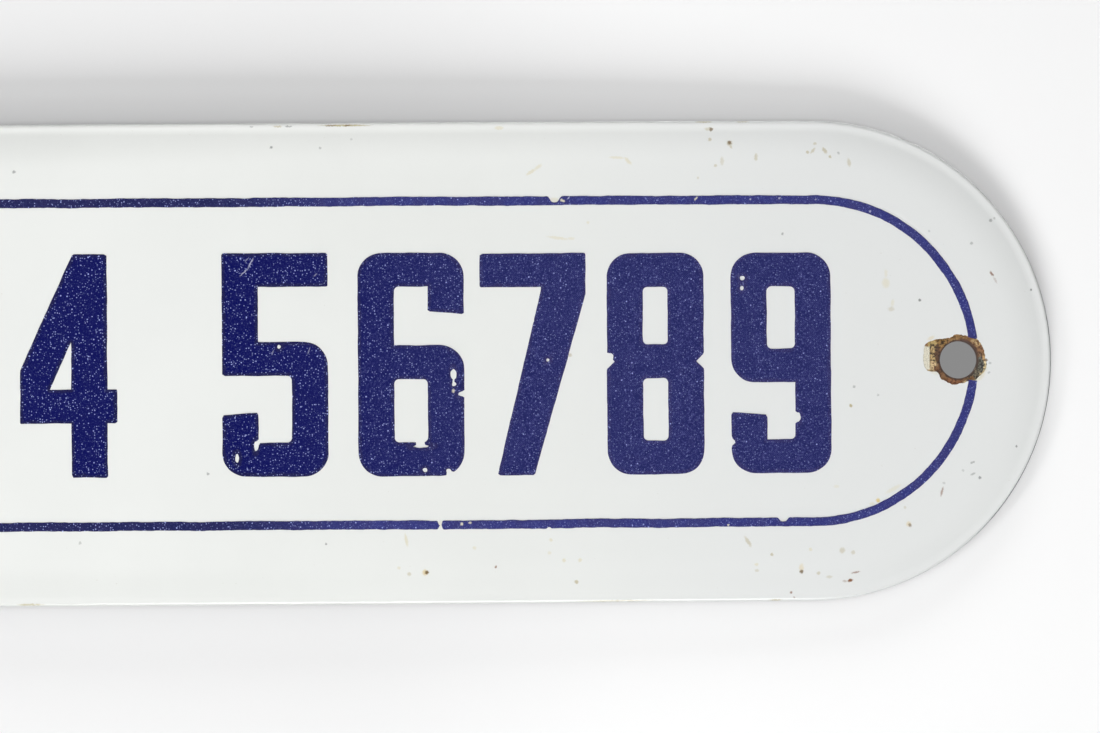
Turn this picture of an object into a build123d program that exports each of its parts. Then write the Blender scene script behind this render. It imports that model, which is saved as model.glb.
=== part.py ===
from build123d import *
import math
import os

# Door plaque: an enamelled steel plate with full-round ends, upright as it hangs on a door.
# X runs along its length, Z up, and its printed face looks towards -Y.
# The origin lies midway between the two screw holes, in the plane of the plate's back at the holes.
# All sizes are in millimetres. Lengths along the plate are those of the flat blank before it is bowed.

# Plate
plate_length = 290.0
plate_height = 80.0
sheet_thickness = 1.3
bow_radius = 2500.0

# Turned-down rim, an S of two arcs: a wide shoulder, then a tighter lip that ends in a flat land
rim_width = 7.7
rim_drop = 0.8
lip_radius = 4.5
edge_land = 0.3

# Screw holes, one in from each tip
hole_diameter = 6.2
hole_margin = 15.8
hole_edge_radius = 0.42
hole_search_slack = 0.35

# Enamel broken away and steel rusted round the right hole, as overlapping scallops: each (along, up, radius)
chip_depth = 0.42
chip_scallops = [
    (0.0, 0.0, 3.95),
    (0.9, 0.5, 3.6),
    (0.7, -0.8, 3.7),
    (-0.8, 0.7, 3.5),
    (-3.4, 1.0, 1.9),
    (-3.9, -0.7, 1.8),
]

# Printed border, a raised line at a constant distance inside the edge
border_margin = 13.2
border_width = 1.4
print_thickness = 0.12
print_hole_gap = 0.4

# The bow: the straight-sided middle is an arc seen from above, and each round end is flat
end_radius = plate_height / 2
bow_angle = (plate_length / 2 - end_radius) / bow_radius
bow_degrees = math.degrees(bow_angle)
back_radius = bow_radius - sheet_thickness

# The screw holes, from the tips of the bowed plate inwards, and the bow's axis behind them
tip_x = bow_radius * math.sin(bow_angle) + end_radius * math.cos(bow_angle)
hole_x = tip_x - hole_margin * math.cos(bow_angle)
hole_reach = (hole_x - back_radius * math.sin(bow_angle)) / math.cos(bow_angle)
bow_axis_y = back_radius * math.cos(bow_angle) - hole_reach * math.sin(bow_angle)

# The rim's S: both arcs turn through the same angle, which its width and drop settle
edge_round = sheet_thickness / 2
rim_run = rim_width - edge_land - edge_round
rim_angle = 2 * math.atan(rim_drop / rim_run)
shoulder_radius = rim_run / math.sin(rim_angle) - lip_radius
flat_half_height = end_radius - rim_width


def section_plane(angle):
    """Plane across the plate at an angle along the bow: its x is up and its y points out of the face."""
    on_face = (bow_radius * math.sin(angle), bow_axis_y - bow_radius * math.cos(angle), 0)
    along = (math.cos(angle), math.sin(angle), 0)
    return Plane(origin=on_face, x_dir=(0, 0, 1), z_dir=along)


def face_line(depth):
    """Front face (depth 0) or back face (depth of the sheet), from mid height out to the rounded edge."""
    turn = math.degrees(rim_angle)
    flat = Line((0, -depth), (flat_half_height, -depth))
    shoulder = JernArc(flat @ 1, flat % 1, shoulder_radius - depth, -turn)
    lip = JernArc(shoulder @ 1, shoulder % 1, lip_radius + depth, turn)
    land = Line(lip @ 1, (end_radius - edge_round, (lip @ 1).Y))
    return [flat, shoulder, lip, land]


def half_section():
    """The sheet cut across its upper half: flat middle, S-shaped rim and rounded edge."""
    front = face_line(0)
    back = face_line(sheet_thickness)
    front_end = front[-1] @ 1
    back_end = back[-1] @ 1
    edge = ThreePointArc(front_end, (end_radius, (front_end.Y + back_end.Y) / 2), back_end)
    middle = Line((0, 0), (0, -sheet_thickness))
    return make_face([*front, edge, *back, middle])


def border_section():
    """The border line cut across where it runs along the upper half of the face."""
    outward = end_radius - border_margin
    return Pos(outward, print_thickness / 2) * Rectangle(border_width, print_thickness)


def along_bow(section):
    """Carry a section round the bow, from one round end to the other."""
    start = section_plane(-bow_angle) * section
    return revolve(start, Axis((0, bow_axis_y, 0), (0, 0, 1)), 2 * bow_degrees)


def round_end(section):
    """Turn an upper half section about the middle of the right end, through the tip."""
    seat = section_plane(bow_angle)
    return revolve(seat * section, Axis(seat.origin, -seat.y_dir), 180)


def whole_outline(section, right_end, left_end):
    """Join a section carried along both sides of the plate to its two ends, the left one mirrored."""
    sides = along_bow(section + mirror(section, about=Plane.YZ))
    return sides + right_end + mirror(left_end, about=Plane.YZ)


def hole_tool(radius):
    """A round cutter at the right screw hole, straight through the plate."""
    at_hole = Plane(origin=(hole_x, 0, 0), x_dir=(1, 0, 0), z_dir=(0, -1, 0))
    return at_hole * Cylinder(radius, plate_height)


def face_at_hole():
    """Plane on the front face at the right screw hole: its x runs to the tip and its z points out."""
    seat = section_plane(bow_angle)
    centre = seat.origin + seat.z_dir * (hole_reach + sheet_thickness * math.tan(bow_angle))
    return Plane(origin=centre, x_dir=seat.z_dir, z_dir=seat.y_dir)


def chip_tool():
    """Scalloped cutter for the broken enamel round the right screw hole."""
    scallops = Sketch() + [Pos(along, up) * Circle(radius) for along, up, radius in chip_scallops]
    return extrude(face_at_hole() * scallops, amount=chip_depth, both=True)


def front_hole_edge(end):
    """The edge where an end's screw hole meets its front face."""
    rims = [edge for edge in end.edges().filter_by(GeomType.LINE, reverse=True) if is_round_hole(edge)]
    return min(rims, key=lambda edge: edge.center(CenterOf.BOUNDING_BOX).Y)


def is_round_hole(edge):
    """Whether an edge goes all the way round the right screw hole."""
    box = edge.bounding_box()
    is_full_height = abs(box.size.Z - hole_diameter) < hole_search_slack
    return is_full_height and abs(box.center().X - hole_x) < hole_search_slack


def enamelled_plate():
    """The pressed plate with its enamel skin, two screw holes and the chip round the right one."""
    section = half_section()
    end = round_end(section) - hole_tool(hole_diameter / 2)
    glazed_end = fillet(front_hole_edge(end), hole_edge_radius)
    return whole_outline(section, end - chip_tool(), glazed_end)


def printed_border():
    """The raised blue line, which stops short of the left hole and of the chip round the right one."""
    section = border_section()
    end = round_end(section)
    return whole_outline(section, end - chip_tool(), end - hole_tool(hole_diameter / 2 + print_hole_gap))


os.makedirs("parts", exist_ok=True)
export_step(enamelled_plate(), "parts/enamelled_plate.step")
export_step(printed_border(), "parts/printed_border.step")

print("hole spacing", round(2 * hole_x, 4), "tip to tip", round(2 * tip_x, 3))
print("bow at the tips", round(bow_radius * (1 - math.cos(bow_angle)) + end_radius * math.sin(bow_angle), 3))
print("rim angle", round(math.degrees(rim_angle), 2), "shoulder radius", round(shoulder_radius, 2))
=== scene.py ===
"""Long round-ended door plaque in white vitreous enamel with blue numerals, hung on a pale wall.

The plate is drawn in the coordinates of its flat blank, in millimetres: along (s), up (w) and out of
the face (d). One function bows that blank as the pressed sheet is bowed, and puts it in the frame.
"""

import logging
import math
from dataclasses import dataclass, field, replace
from enum import Enum
from typing import Callable

import bmesh
import bpy
import numpy as np
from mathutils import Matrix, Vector


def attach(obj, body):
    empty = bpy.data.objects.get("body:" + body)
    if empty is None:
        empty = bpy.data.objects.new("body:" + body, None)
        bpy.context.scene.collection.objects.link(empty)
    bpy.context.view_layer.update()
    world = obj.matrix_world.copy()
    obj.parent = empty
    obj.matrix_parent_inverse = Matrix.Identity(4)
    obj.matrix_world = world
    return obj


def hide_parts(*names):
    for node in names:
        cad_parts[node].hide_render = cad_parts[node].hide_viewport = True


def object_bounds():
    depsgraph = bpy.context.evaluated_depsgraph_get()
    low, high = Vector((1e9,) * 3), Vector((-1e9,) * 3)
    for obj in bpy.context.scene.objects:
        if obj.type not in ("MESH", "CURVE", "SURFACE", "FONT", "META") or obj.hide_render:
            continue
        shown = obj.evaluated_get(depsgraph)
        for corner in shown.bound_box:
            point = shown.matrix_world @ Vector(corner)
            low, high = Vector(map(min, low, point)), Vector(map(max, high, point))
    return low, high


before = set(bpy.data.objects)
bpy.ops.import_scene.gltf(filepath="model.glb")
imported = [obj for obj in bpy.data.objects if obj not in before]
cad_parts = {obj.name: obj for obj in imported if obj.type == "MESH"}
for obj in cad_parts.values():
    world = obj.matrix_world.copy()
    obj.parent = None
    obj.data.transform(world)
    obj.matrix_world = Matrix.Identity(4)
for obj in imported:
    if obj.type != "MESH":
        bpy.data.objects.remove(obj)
cad_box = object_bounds()

LOG = logging.getLogger("plaque")
Array = np.ndarray
Field = Callable[[Array, Array], Array]
Material = bpy.types.Material
Socket = bpy.types.NodeSocket
Tone = tuple[int, int, int]

# In metres: a millimetre, and the gap between the plate's tips and the wall. In millimetres of the face: a
# pixel of the camera's frame.
MILLIMETRE = 0.001
WALL_GAP = 0.0027
PIXEL = 0.1663

# The noise's lattice: values along a side before it repeats, and a shift that keeps places on it above 0.
LATTICE_SIDE = 64
LATTICE_SHIFT = 1000.0

# Points closer than the step of this grid are welded. The shift keeps round numbers off its lines.
WELDS_PER_MM = 1000.0
WELD_SHIFT = 0.000137


def lattice_noise(x: Array, y: Array, cell: float, seed: int) -> Array:
    """Smooth noise between -1 and 1: random values on a square lattice, blended with 3t^2 - 2t^3.

    Args:
        x: First coordinate, any shape.
        y: Second coordinate, the same shape.
        cell: Side of a lattice square, in the unit of x and y.
        seed: Picks the random values.

    Returns:
        The noise at each point.
    """
    values = np.random.default_rng(seed).uniform(-1, 1, (LATTICE_SIDE, LATTICE_SIDE))
    gx, gy = np.asarray(x) / cell + LATTICE_SHIFT, np.asarray(y) / cell + LATTICE_SHIFT
    ix, iy = np.floor(gx).astype(int), np.floor(gy).astype(int)
    tx, ty = gx - ix, gy - iy
    tx, ty = tx * tx * (3 - 2 * tx), ty * ty * (3 - 2 * ty)
    near, far = ix % LATTICE_SIDE, (ix + 1) % LATTICE_SIDE
    low, high = (
        values[near, row % LATTICE_SIDE] * (1 - tx) + values[far, row % LATTICE_SIDE] * tx for row in (iy, iy + 1)
    )
    return low * (1 - ty) + high * ty


def rough(x: Array, y: Array, *layers: tuple[float, float, int]) -> Array:
    """Sum of layers of lattice noise, each given by its height, its cell and its seed."""
    return sum(height * lattice_noise(x, y, cell, seed) for height, cell, seed in layers)


def smooth_step(value: Array, start: float, stop: float) -> Array:
    """Rises from 0 at start to 1 at stop along 3t^2 - 2t^3."""
    t = np.clip((value - start) / (stop - start), 0.0, 1.0)
    return t * t * (3 - 2 * t)


@dataclass(frozen=True)
class Blank:
    """The pressed sheet: its flat outline, its S-shaped rim and its bow, in millimetres.

    The length, height and hole's margin are up to 0.06 short, to stay inside the facets of the frame.
    """

    length: float = 289.94
    height: float = 79.995
    thickness: float = 1.3
    bow_radius: float = 2500.0
    rim_width: float = 7.7
    rim_drop: float = 0.8
    lip_radius: float = 4.5
    edge_land: float = 0.3
    hole_radius: float = 3.1
    hole_margin: float = 15.77

    @property
    def end_radius(self) -> float:
        """Radius of the full-round ends."""
        return self.height / 2

    @property
    def half_straight(self) -> float:
        """Half the length of the straight sides."""
        return self.length / 2 - self.end_radius

    @property
    def bow_angle(self) -> float:
        """Tilt of each round end, in radians."""
        return self.half_straight / self.bow_radius

    @property
    def flat_half_height(self) -> float:
        """Distance from the spine to where the rim starts to turn down."""
        return self.end_radius - self.rim_width

    @property
    def hole_along(self) -> float:
        """Place of the screw hole along the front face."""
        return self.length / 2 - self.hole_margin

    @property
    def bow_axis_y(self) -> float:
        """Place of the bow's axis, which puts the back of the plate at the holes in the frame's plane."""
        reach = self.hole_along - self.half_straight + self.thickness * math.tan(self.bow_angle)
        return (self.bow_radius - self.thickness) * math.cos(self.bow_angle) - reach * math.sin(self.bow_angle)

    def place(self, blank: Array) -> Array:
        """Bows blank points into the frame.

        The middle is an arc of the bow's radius and each end goes on along its tangent. A point out of
        the face moves along the face's normal there.

        Args:
            blank: Points as rows of along, up and out.

        Returns:
            The points as rows of x, y and z in millimetres.
        """
        along, up, out = blank[:, 0], blank[:, 1], blank[:, 2]
        bent = np.clip(along, -self.half_straight, self.half_straight)
        angle, beyond = bent / self.bow_radius, along - bent
        x = (self.bow_radius + out) * np.sin(angle) + beyond * np.cos(angle)
        y = self.bow_axis_y - (self.bow_radius + out) * np.cos(angle) + beyond * np.sin(angle)
        return np.stack([x, y, up], axis=1)

    def along_of(self, x: float) -> float:
        """Finds the place along the blank of a point of the front face.

        The bow's arc is undone by its arcsine, and a flat end by its tilt.

        Args:
            x: The point's x in the frame, in millimetres.

        Returns:
            The length along the face from the middle.
        """
        reach = self.bow_radius * math.sin(self.bow_angle)
        if abs(x) <= reach:
            return self.bow_radius * math.asin(x / self.bow_radius)
        return math.copysign(self.half_straight + (abs(x) - reach) / math.cos(self.bow_angle), x)

    def face_y(self, x: float) -> float:
        """Depth in the frame of the front face at an x, at mid height."""
        return float(self.place(np.array([[self.along_of(x), 0.0, 0.0]]))[0, 1])

    def rim_profile(self, steps: int) -> tuple[Array, Array]:
        """The rim cut across: distance from the spine and height out of the face.

        Two arcs of the same turn make the front's S, a wide shoulder and a tight lip. A flat land, a
        half-round edge and the same arcs one sheet deeper follow.

        Args:
            steps: Number of steps in each arc.

        Returns:
            The distances from the spine and the heights, front to back.
        """
        edge_round = self.thickness / 2
        run = self.rim_width - self.edge_land - edge_round
        turn = 2 * math.atan(self.rim_drop / run)
        shoulder = run / math.sin(turn) - self.lip_radius
        start, end = self.flat_half_height, self.flat_half_height + run
        t = np.linspace(0, turn, steps)
        lip_centre = -self.rim_drop + self.lip_radius

        def face_arcs(depth: float) -> tuple[Array, Array]:
            """One face's shoulder and lip: two arcs about the front's centres, at its depth.

            Args:
                depth: How deep the face lies under the front.

            Returns:
                The distances from the spine and the heights, outwards.
            """
            r1, r2 = shoulder - depth, self.lip_radius + depth
            r = np.concatenate([start + r1 * np.sin(t), end - r2 * np.sin(t[::-1][1:])])
            d = np.concatenate([r1 * np.cos(t) - shoulder, lip_centre - r2 * np.cos(t[::-1][1:])])
            return r, d

        a = np.linspace(math.pi / 2, -math.pi / 2, 2 * steps)
        edge_r = self.end_radius - edge_round + edge_round * np.cos(a)
        edge_d = -self.rim_drop - edge_round + edge_round * np.sin(a)
        front_r, front_d = face_arcs(0.0)
        back_r, back_d = face_arcs(self.thickness)
        return np.concatenate([front_r, edge_r, back_r[::-1]]), np.concatenate([front_d, edge_d, back_d[::-1]])


@dataclass(frozen=True)
class Viewpoint:
    """The camera, and the way back from a pixel of its 1100 x 733 frame to the plate's face."""

    x: float = 61.01
    y: float = -510.72
    z: float = -0.69
    lens: float = 100.0
    sensor: float = 36.0
    roll: float = 0.0062
    frame_width: int = 1100
    frame_height: int = 733
    clip: tuple[float, float] = (0.01, 20.0)
    rounds: int = 4

    def on_face(self, blank: Blank, px: float, py: float) -> tuple[float, float]:
        """Finds the blank's point seen at a pixel.

        The pixel's ray is followed to the face's depth, which is found again at each new x.

        Args:
            blank: The sheet that is looked at.
            px: Pixels from the left of the frame.
            py: Pixels from the top of the frame.

        Returns:
            Place along and up on the blank, in millimetres.
        """
        focal = self.lens / self.sensor * self.frame_width
        right, up = px - self.frame_width / 2, self.frame_height / 2 - py
        c, s = math.cos(self.roll), math.sin(self.roll)
        right, up = right * c + up * s, up * c - right * s
        x = self.x
        for _ in range(self.rounds):
            depth = blank.face_y(x) - self.y
            x = self.x + right * depth / focal
        return blank.along_of(x), self.z + up * depth / focal

    def build(self) -> None:
        """Makes the scene's camera, level but for its roll, looking along +Y."""
        camera = bpy.data.objects.new("camera", bpy.data.cameras.new("camera"))
        camera.data.lens, camera.data.sensor_width = self.lens, self.sensor
        camera.data.clip_start, camera.data.clip_end = self.clip
        camera.location = Vector((self.x, self.y, self.z)) * MILLIMETRE
        camera.rotation_euler = (math.pi / 2, self.roll, 0.0)
        bpy.context.scene.collection.objects.link(camera)
        bpy.context.scene.camera = camera


@dataclass
class Surface:
    """Gathers grids and faces in blank coordinates, and makes them one closed, welded mesh."""

    blank: Blank
    points: list[Array] = field(default_factory=list)
    faces: list[Array] = field(default_factory=list)
    finishes: list[Array] = field(default_factory=list)
    tints: list[Array] = field(default_factory=list)
    count: int = 0

    def add(self, points: Array, faces: Array, finish: int | Array = 0, tint: Array | None = None) -> None:
        """Adds loose points and faces.

        Args:
            points: Rows of along, up and out.
            faces: Rows of four indices into those points.
            finish: Number of the material slot, for all faces or for each.
            tint: A colour for each point, as rows of red, green and blue, or white if left out.
        """
        self.points.append(points)
        self.faces.append(faces + self.count)
        self.finishes.append(np.full(len(faces), finish))
        self.tints.append(np.ones((len(points), 3)) if tint is None else tint)
        self.count += len(points)

    def add_grid(
        self, grid: Array, finish: int | Array = 0, closed: bool = False, tint: Array | None = None
    ) -> None:
        """Adds a grid of points as quads between neighbours.

        Args:
            grid: Points by row and column, with along, up and out last.
            finish: Number of the material slot, for all quads or for each.
            closed: Whether the last column joins the first.
            tint: A colour for each grid point, or white if left out.
        """
        rows, columns = grid.shape[:2]
        index = np.arange(rows * columns).reshape(rows, columns)
        if closed:
            index = np.concatenate([index, index[:, :1]], axis=1)
        quads = np.stack([index[:-1, :-1], index[1:, :-1], index[1:, 1:], index[:-1, 1:]], axis=-1)
        colours = None if tint is None else tint.reshape(-1, 3)
        self.add(grid.reshape(-1, 3), quads.reshape(-1, 4), finish, colours)

    def build(self, name: str, materials: list[Material], sharp: float) -> bpy.types.Object:
        """Welds the points, bows them and makes the object.

        Args:
            name: Name of the object.
            materials: Material for each slot number.
            sharp: Edges that turn by more than this many degrees stay crisp.

        Returns:
            The object, at the origin, with its place in its mesh.
        """
        points = np.concatenate(self.points)
        key = np.floor((points + WELD_SHIFT) * WELDS_PER_MM).astype(np.int64)
        _, first, inverse = np.unique(key, axis=0, return_index=True, return_inverse=True)
        faces = inverse.reshape(-1)[np.concatenate(self.faces)]
        placed = self.blank.place(points[first]) * MILLIMETRE
        mesh = bpy.data.meshes.new(name)
        mesh.vertices.add(len(placed))
        mesh.vertices.foreach_set("co", placed.ravel())
        mesh.loops.add(faces.size)
        mesh.loops.foreach_set("vertex_index", faces.ravel().astype(np.int32))
        mesh.polygons.add(len(faces))
        mesh.polygons.foreach_set("loop_start", np.arange(len(faces), dtype=np.int32) * 4)
        mesh.update(calc_edges=True)
        mesh.polygons.foreach_set("material_index", np.concatenate(self.finishes).astype(np.int32))
        tint = mesh.color_attributes.new("tint", "FLOAT_COLOR", "POINT")
        rgba = np.concatenate([np.concatenate(self.tints)[first], np.ones((len(first), 1))], axis=1)
        tint.data.foreach_set("color", rgba.ravel().astype(np.float32))
        for material in materials:
            mesh.materials.append(material)
        mesh.validate()
        work = bmesh.new()
        work.from_mesh(mesh)
        bmesh.ops.recalc_face_normals(work, faces=work.faces)
        work.to_mesh(mesh)
        work.free()
        mesh.polygons.foreach_set("use_smooth", np.ones(len(mesh.polygons), dtype=bool))
        mesh.set_sharp_from_angle(angle=math.radians(sharp))
        piece = bpy.data.objects.new(name, mesh)
        bpy.context.scene.collection.objects.link(piece)
        return piece


class Nodes:
    """Short hand for a material's node tree."""

    def __init__(self, name: str) -> None:
        """Starts a material with a principled shader.

        Args:
            name: Name of the material.
        """
        self.material = bpy.data.materials.new(name)
        self.material.use_nodes = True
        self.tree = self.material.node_tree
        self.tree.nodes.clear()
        self.shader = self.new("ShaderNodeBsdfPrincipled")
        self.output = self.new("ShaderNodeOutputMaterial")
        self.feed(self.output, {0: self.shader.outputs[0]})
        self.place = self.new("ShaderNodeTexCoord").outputs["Object"]

    def new(self, kind: str) -> bpy.types.Node:
        """Makes a node of a kind."""
        return self.tree.nodes.new(kind)

    def feed(self, node: bpy.types.Node, values: dict[str | int, object]) -> None:
        """Links sockets to a node's inputs, or sets the inputs to numbers, colours or vectors.

        Args:
            node: The node.
            values: What goes to each input, by the input's name or number.
        """
        for key, value in values.items():
            if isinstance(value, Socket):
                self.tree.links.new(value, node.inputs[key])
            else:
                node.inputs[key].default_value = value

    def noise(self, size_mm: float, detail: float) -> Socket:
        """Noise from 0 to 1.

        Args:
            size_mm: Width of its features.
            detail: How many finer layers it has.

        Returns:
            The noise's socket.
        """
        node = self.new("ShaderNodeTexNoise")
        self.feed(node, {"Vector": self.place, "Scale": 1.0 / (size_mm * MILLIMETRE), "Detail": detail})
        return node.outputs["Fac"]

    def cells(self, size_mm: float) -> tuple[Socket, Socket]:
        """Scattered points.

        Args:
            size_mm: Their spacing.

        Returns:
            The distance to the nearest point, in spacings, and that point's random number.
        """
        node = self.new("ShaderNodeTexVoronoi")
        self.feed(node, {"Vector": self.place, "Scale": 1.0 / (size_mm * MILLIMETRE)})
        split = self.new("ShaderNodeSeparateColor")
        self.feed(split, {0: node.outputs["Color"]})
        return node.outputs["Distance"], split.outputs[0]

    def ramp(self, value: Socket, low: float, high: float, start: float = 0.0, stop: float = 1.0) -> Socket:
        """Maps low..high onto start..stop along 3t^2 - 2t^3, held at both ends.

        Args:
            value: What is mapped.
            low: The value that gives start.
            high: The value that gives stop, which may be below low.
            start: The first result.
            stop: The last result.

        Returns:
            The result's socket.
        """
        node = self.new("ShaderNodeMapRange")
        node.interpolation_type = "SMOOTHSTEP"
        self.feed(node, {"Value": value, "From Min": low, "From Max": high, "To Min": start, "To Max": stop})
        return node.outputs["Result"]

    def maths(self, kind: str, first: object, *others: object) -> Socket:
        """Carries a sum, product or the like through any number of values.

        Args:
            kind: The Math node's operation.
            first: The first value, or the only one.
            others: The values it is joined with, one after the other.

        Returns:
            The result's socket.
        """
        for other in others or (0.0,):
            node = self.new("ShaderNodeMath")
            node.operation = kind
            self.feed(node, {0: first, 1: other})
            first = node.outputs[0]
        return first

    def vector(self, kind: str, *inputs: object) -> Socket:
        """Does one sum on vectors.

        Args:
            kind: The Vector Math node's operation.
            inputs: The vectors, in order.

        Returns:
            Its number for a length or distance, or else its vector.
        """
        node = self.new("ShaderNodeVectorMath")
        node.operation = kind
        self.feed(node, dict(enumerate(inputs)))
        return node.outputs["Value" if kind in ("LENGTH", "DISTANCE") else "Vector"]

    def mix(self, amount: object, first: object, second: object) -> Socket:
        """Blends two colours.

        Args:
            amount: Share of the second, from 0 to 1.
            first: A colour or its socket.
            second: A colour or its socket.

        Returns:
            The blend's socket.
        """
        node = self.new("ShaderNodeMix")
        node.data_type = "RGBA"
        self.feed(node, {"Factor": amount, "A": first, "B": second})
        return node.outputs["Result"]

    def axis(self, letter: str) -> Socket:
        """Reads one coordinate of the object.

        Args:
            letter: X, Y or Z.

        Returns:
            The coordinate's socket, in metres.
        """
        node = self.new("ShaderNodeSeparateXYZ")
        self.feed(node, {0: self.place})
        return node.outputs[letter]

    def tint(self) -> Socket:
        """Reads the colour stored on the mesh.

        Returns:
            The colour's socket.
        """
        node = self.new("ShaderNodeAttribute")
        node.attribute_name = "tint"
        return node.outputs["Color"]

    def bump(self, height: Socket, depth_mm: float) -> None:
        """Raises the surface in shading only, on top of what was raised before.

        Args:
            height: Where it is raised, at 1, and where not, at 0.
            depth_mm: How high 1 is.
        """
        node, normal = self.new("ShaderNodeBump"), self.shader.inputs["Normal"]
        self.feed(node, {"Height": height, "Distance": depth_mm * MILLIMETRE, "Strength": 1.0})
        if normal.is_linked:
            self.feed(node, {"Normal": normal.links[0].from_socket})
        self.feed(self.shader, {"Normal": node.outputs["Normal"]})

    def finish(self, colour: object, roughness: float) -> Material:
        """Gives the shader its colour and roughness, and returns the finished material."""
        self.feed(self.shader, {"Base Color": colour, "Roughness": roughness})
        return self.material


def shade(red: int, green: int, blue: int) -> tuple[float, float, float, float]:
    """Turns a screen colour of 0 to 255 into the linear colour that renders as it, by the sRGB curve."""
    linear = [((v / 255 + 0.055) / 1.055) ** 2.4 if v > 10 else v / 255 / 12.92 for v in (red, green, blue)]
    return (*linear, 1.0)


class Stain(Enum):
    """Colour of a mark on the enamel."""

    CREAM = (218, 213, 190)
    GOLD = (216, 194, 132)
    TAN = (178, 166, 124)
    GREY = (122, 126, 124)
    UMBER = (134, 94, 68)
    RUST = (108, 84, 46)
    PALE = (176, 178, 204)


@dataclass(frozen=True)
class Mark:
    """A small mark on the enamel, by the pixels it fills in the camera's frame.

    The angle turns it anticlockwise as seen, in degrees, and 1 is a strength that hides what is below.
    """

    px: float
    py: float
    half_length: float
    half_width: float
    strength: float
    angle: float = 0.0


def marks(*rows: tuple[float, ...]) -> list[Mark]:
    """Makes a mark of each row of numbers, which are in the order of its fields."""
    return [Mark(*row) for row in rows]


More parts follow.
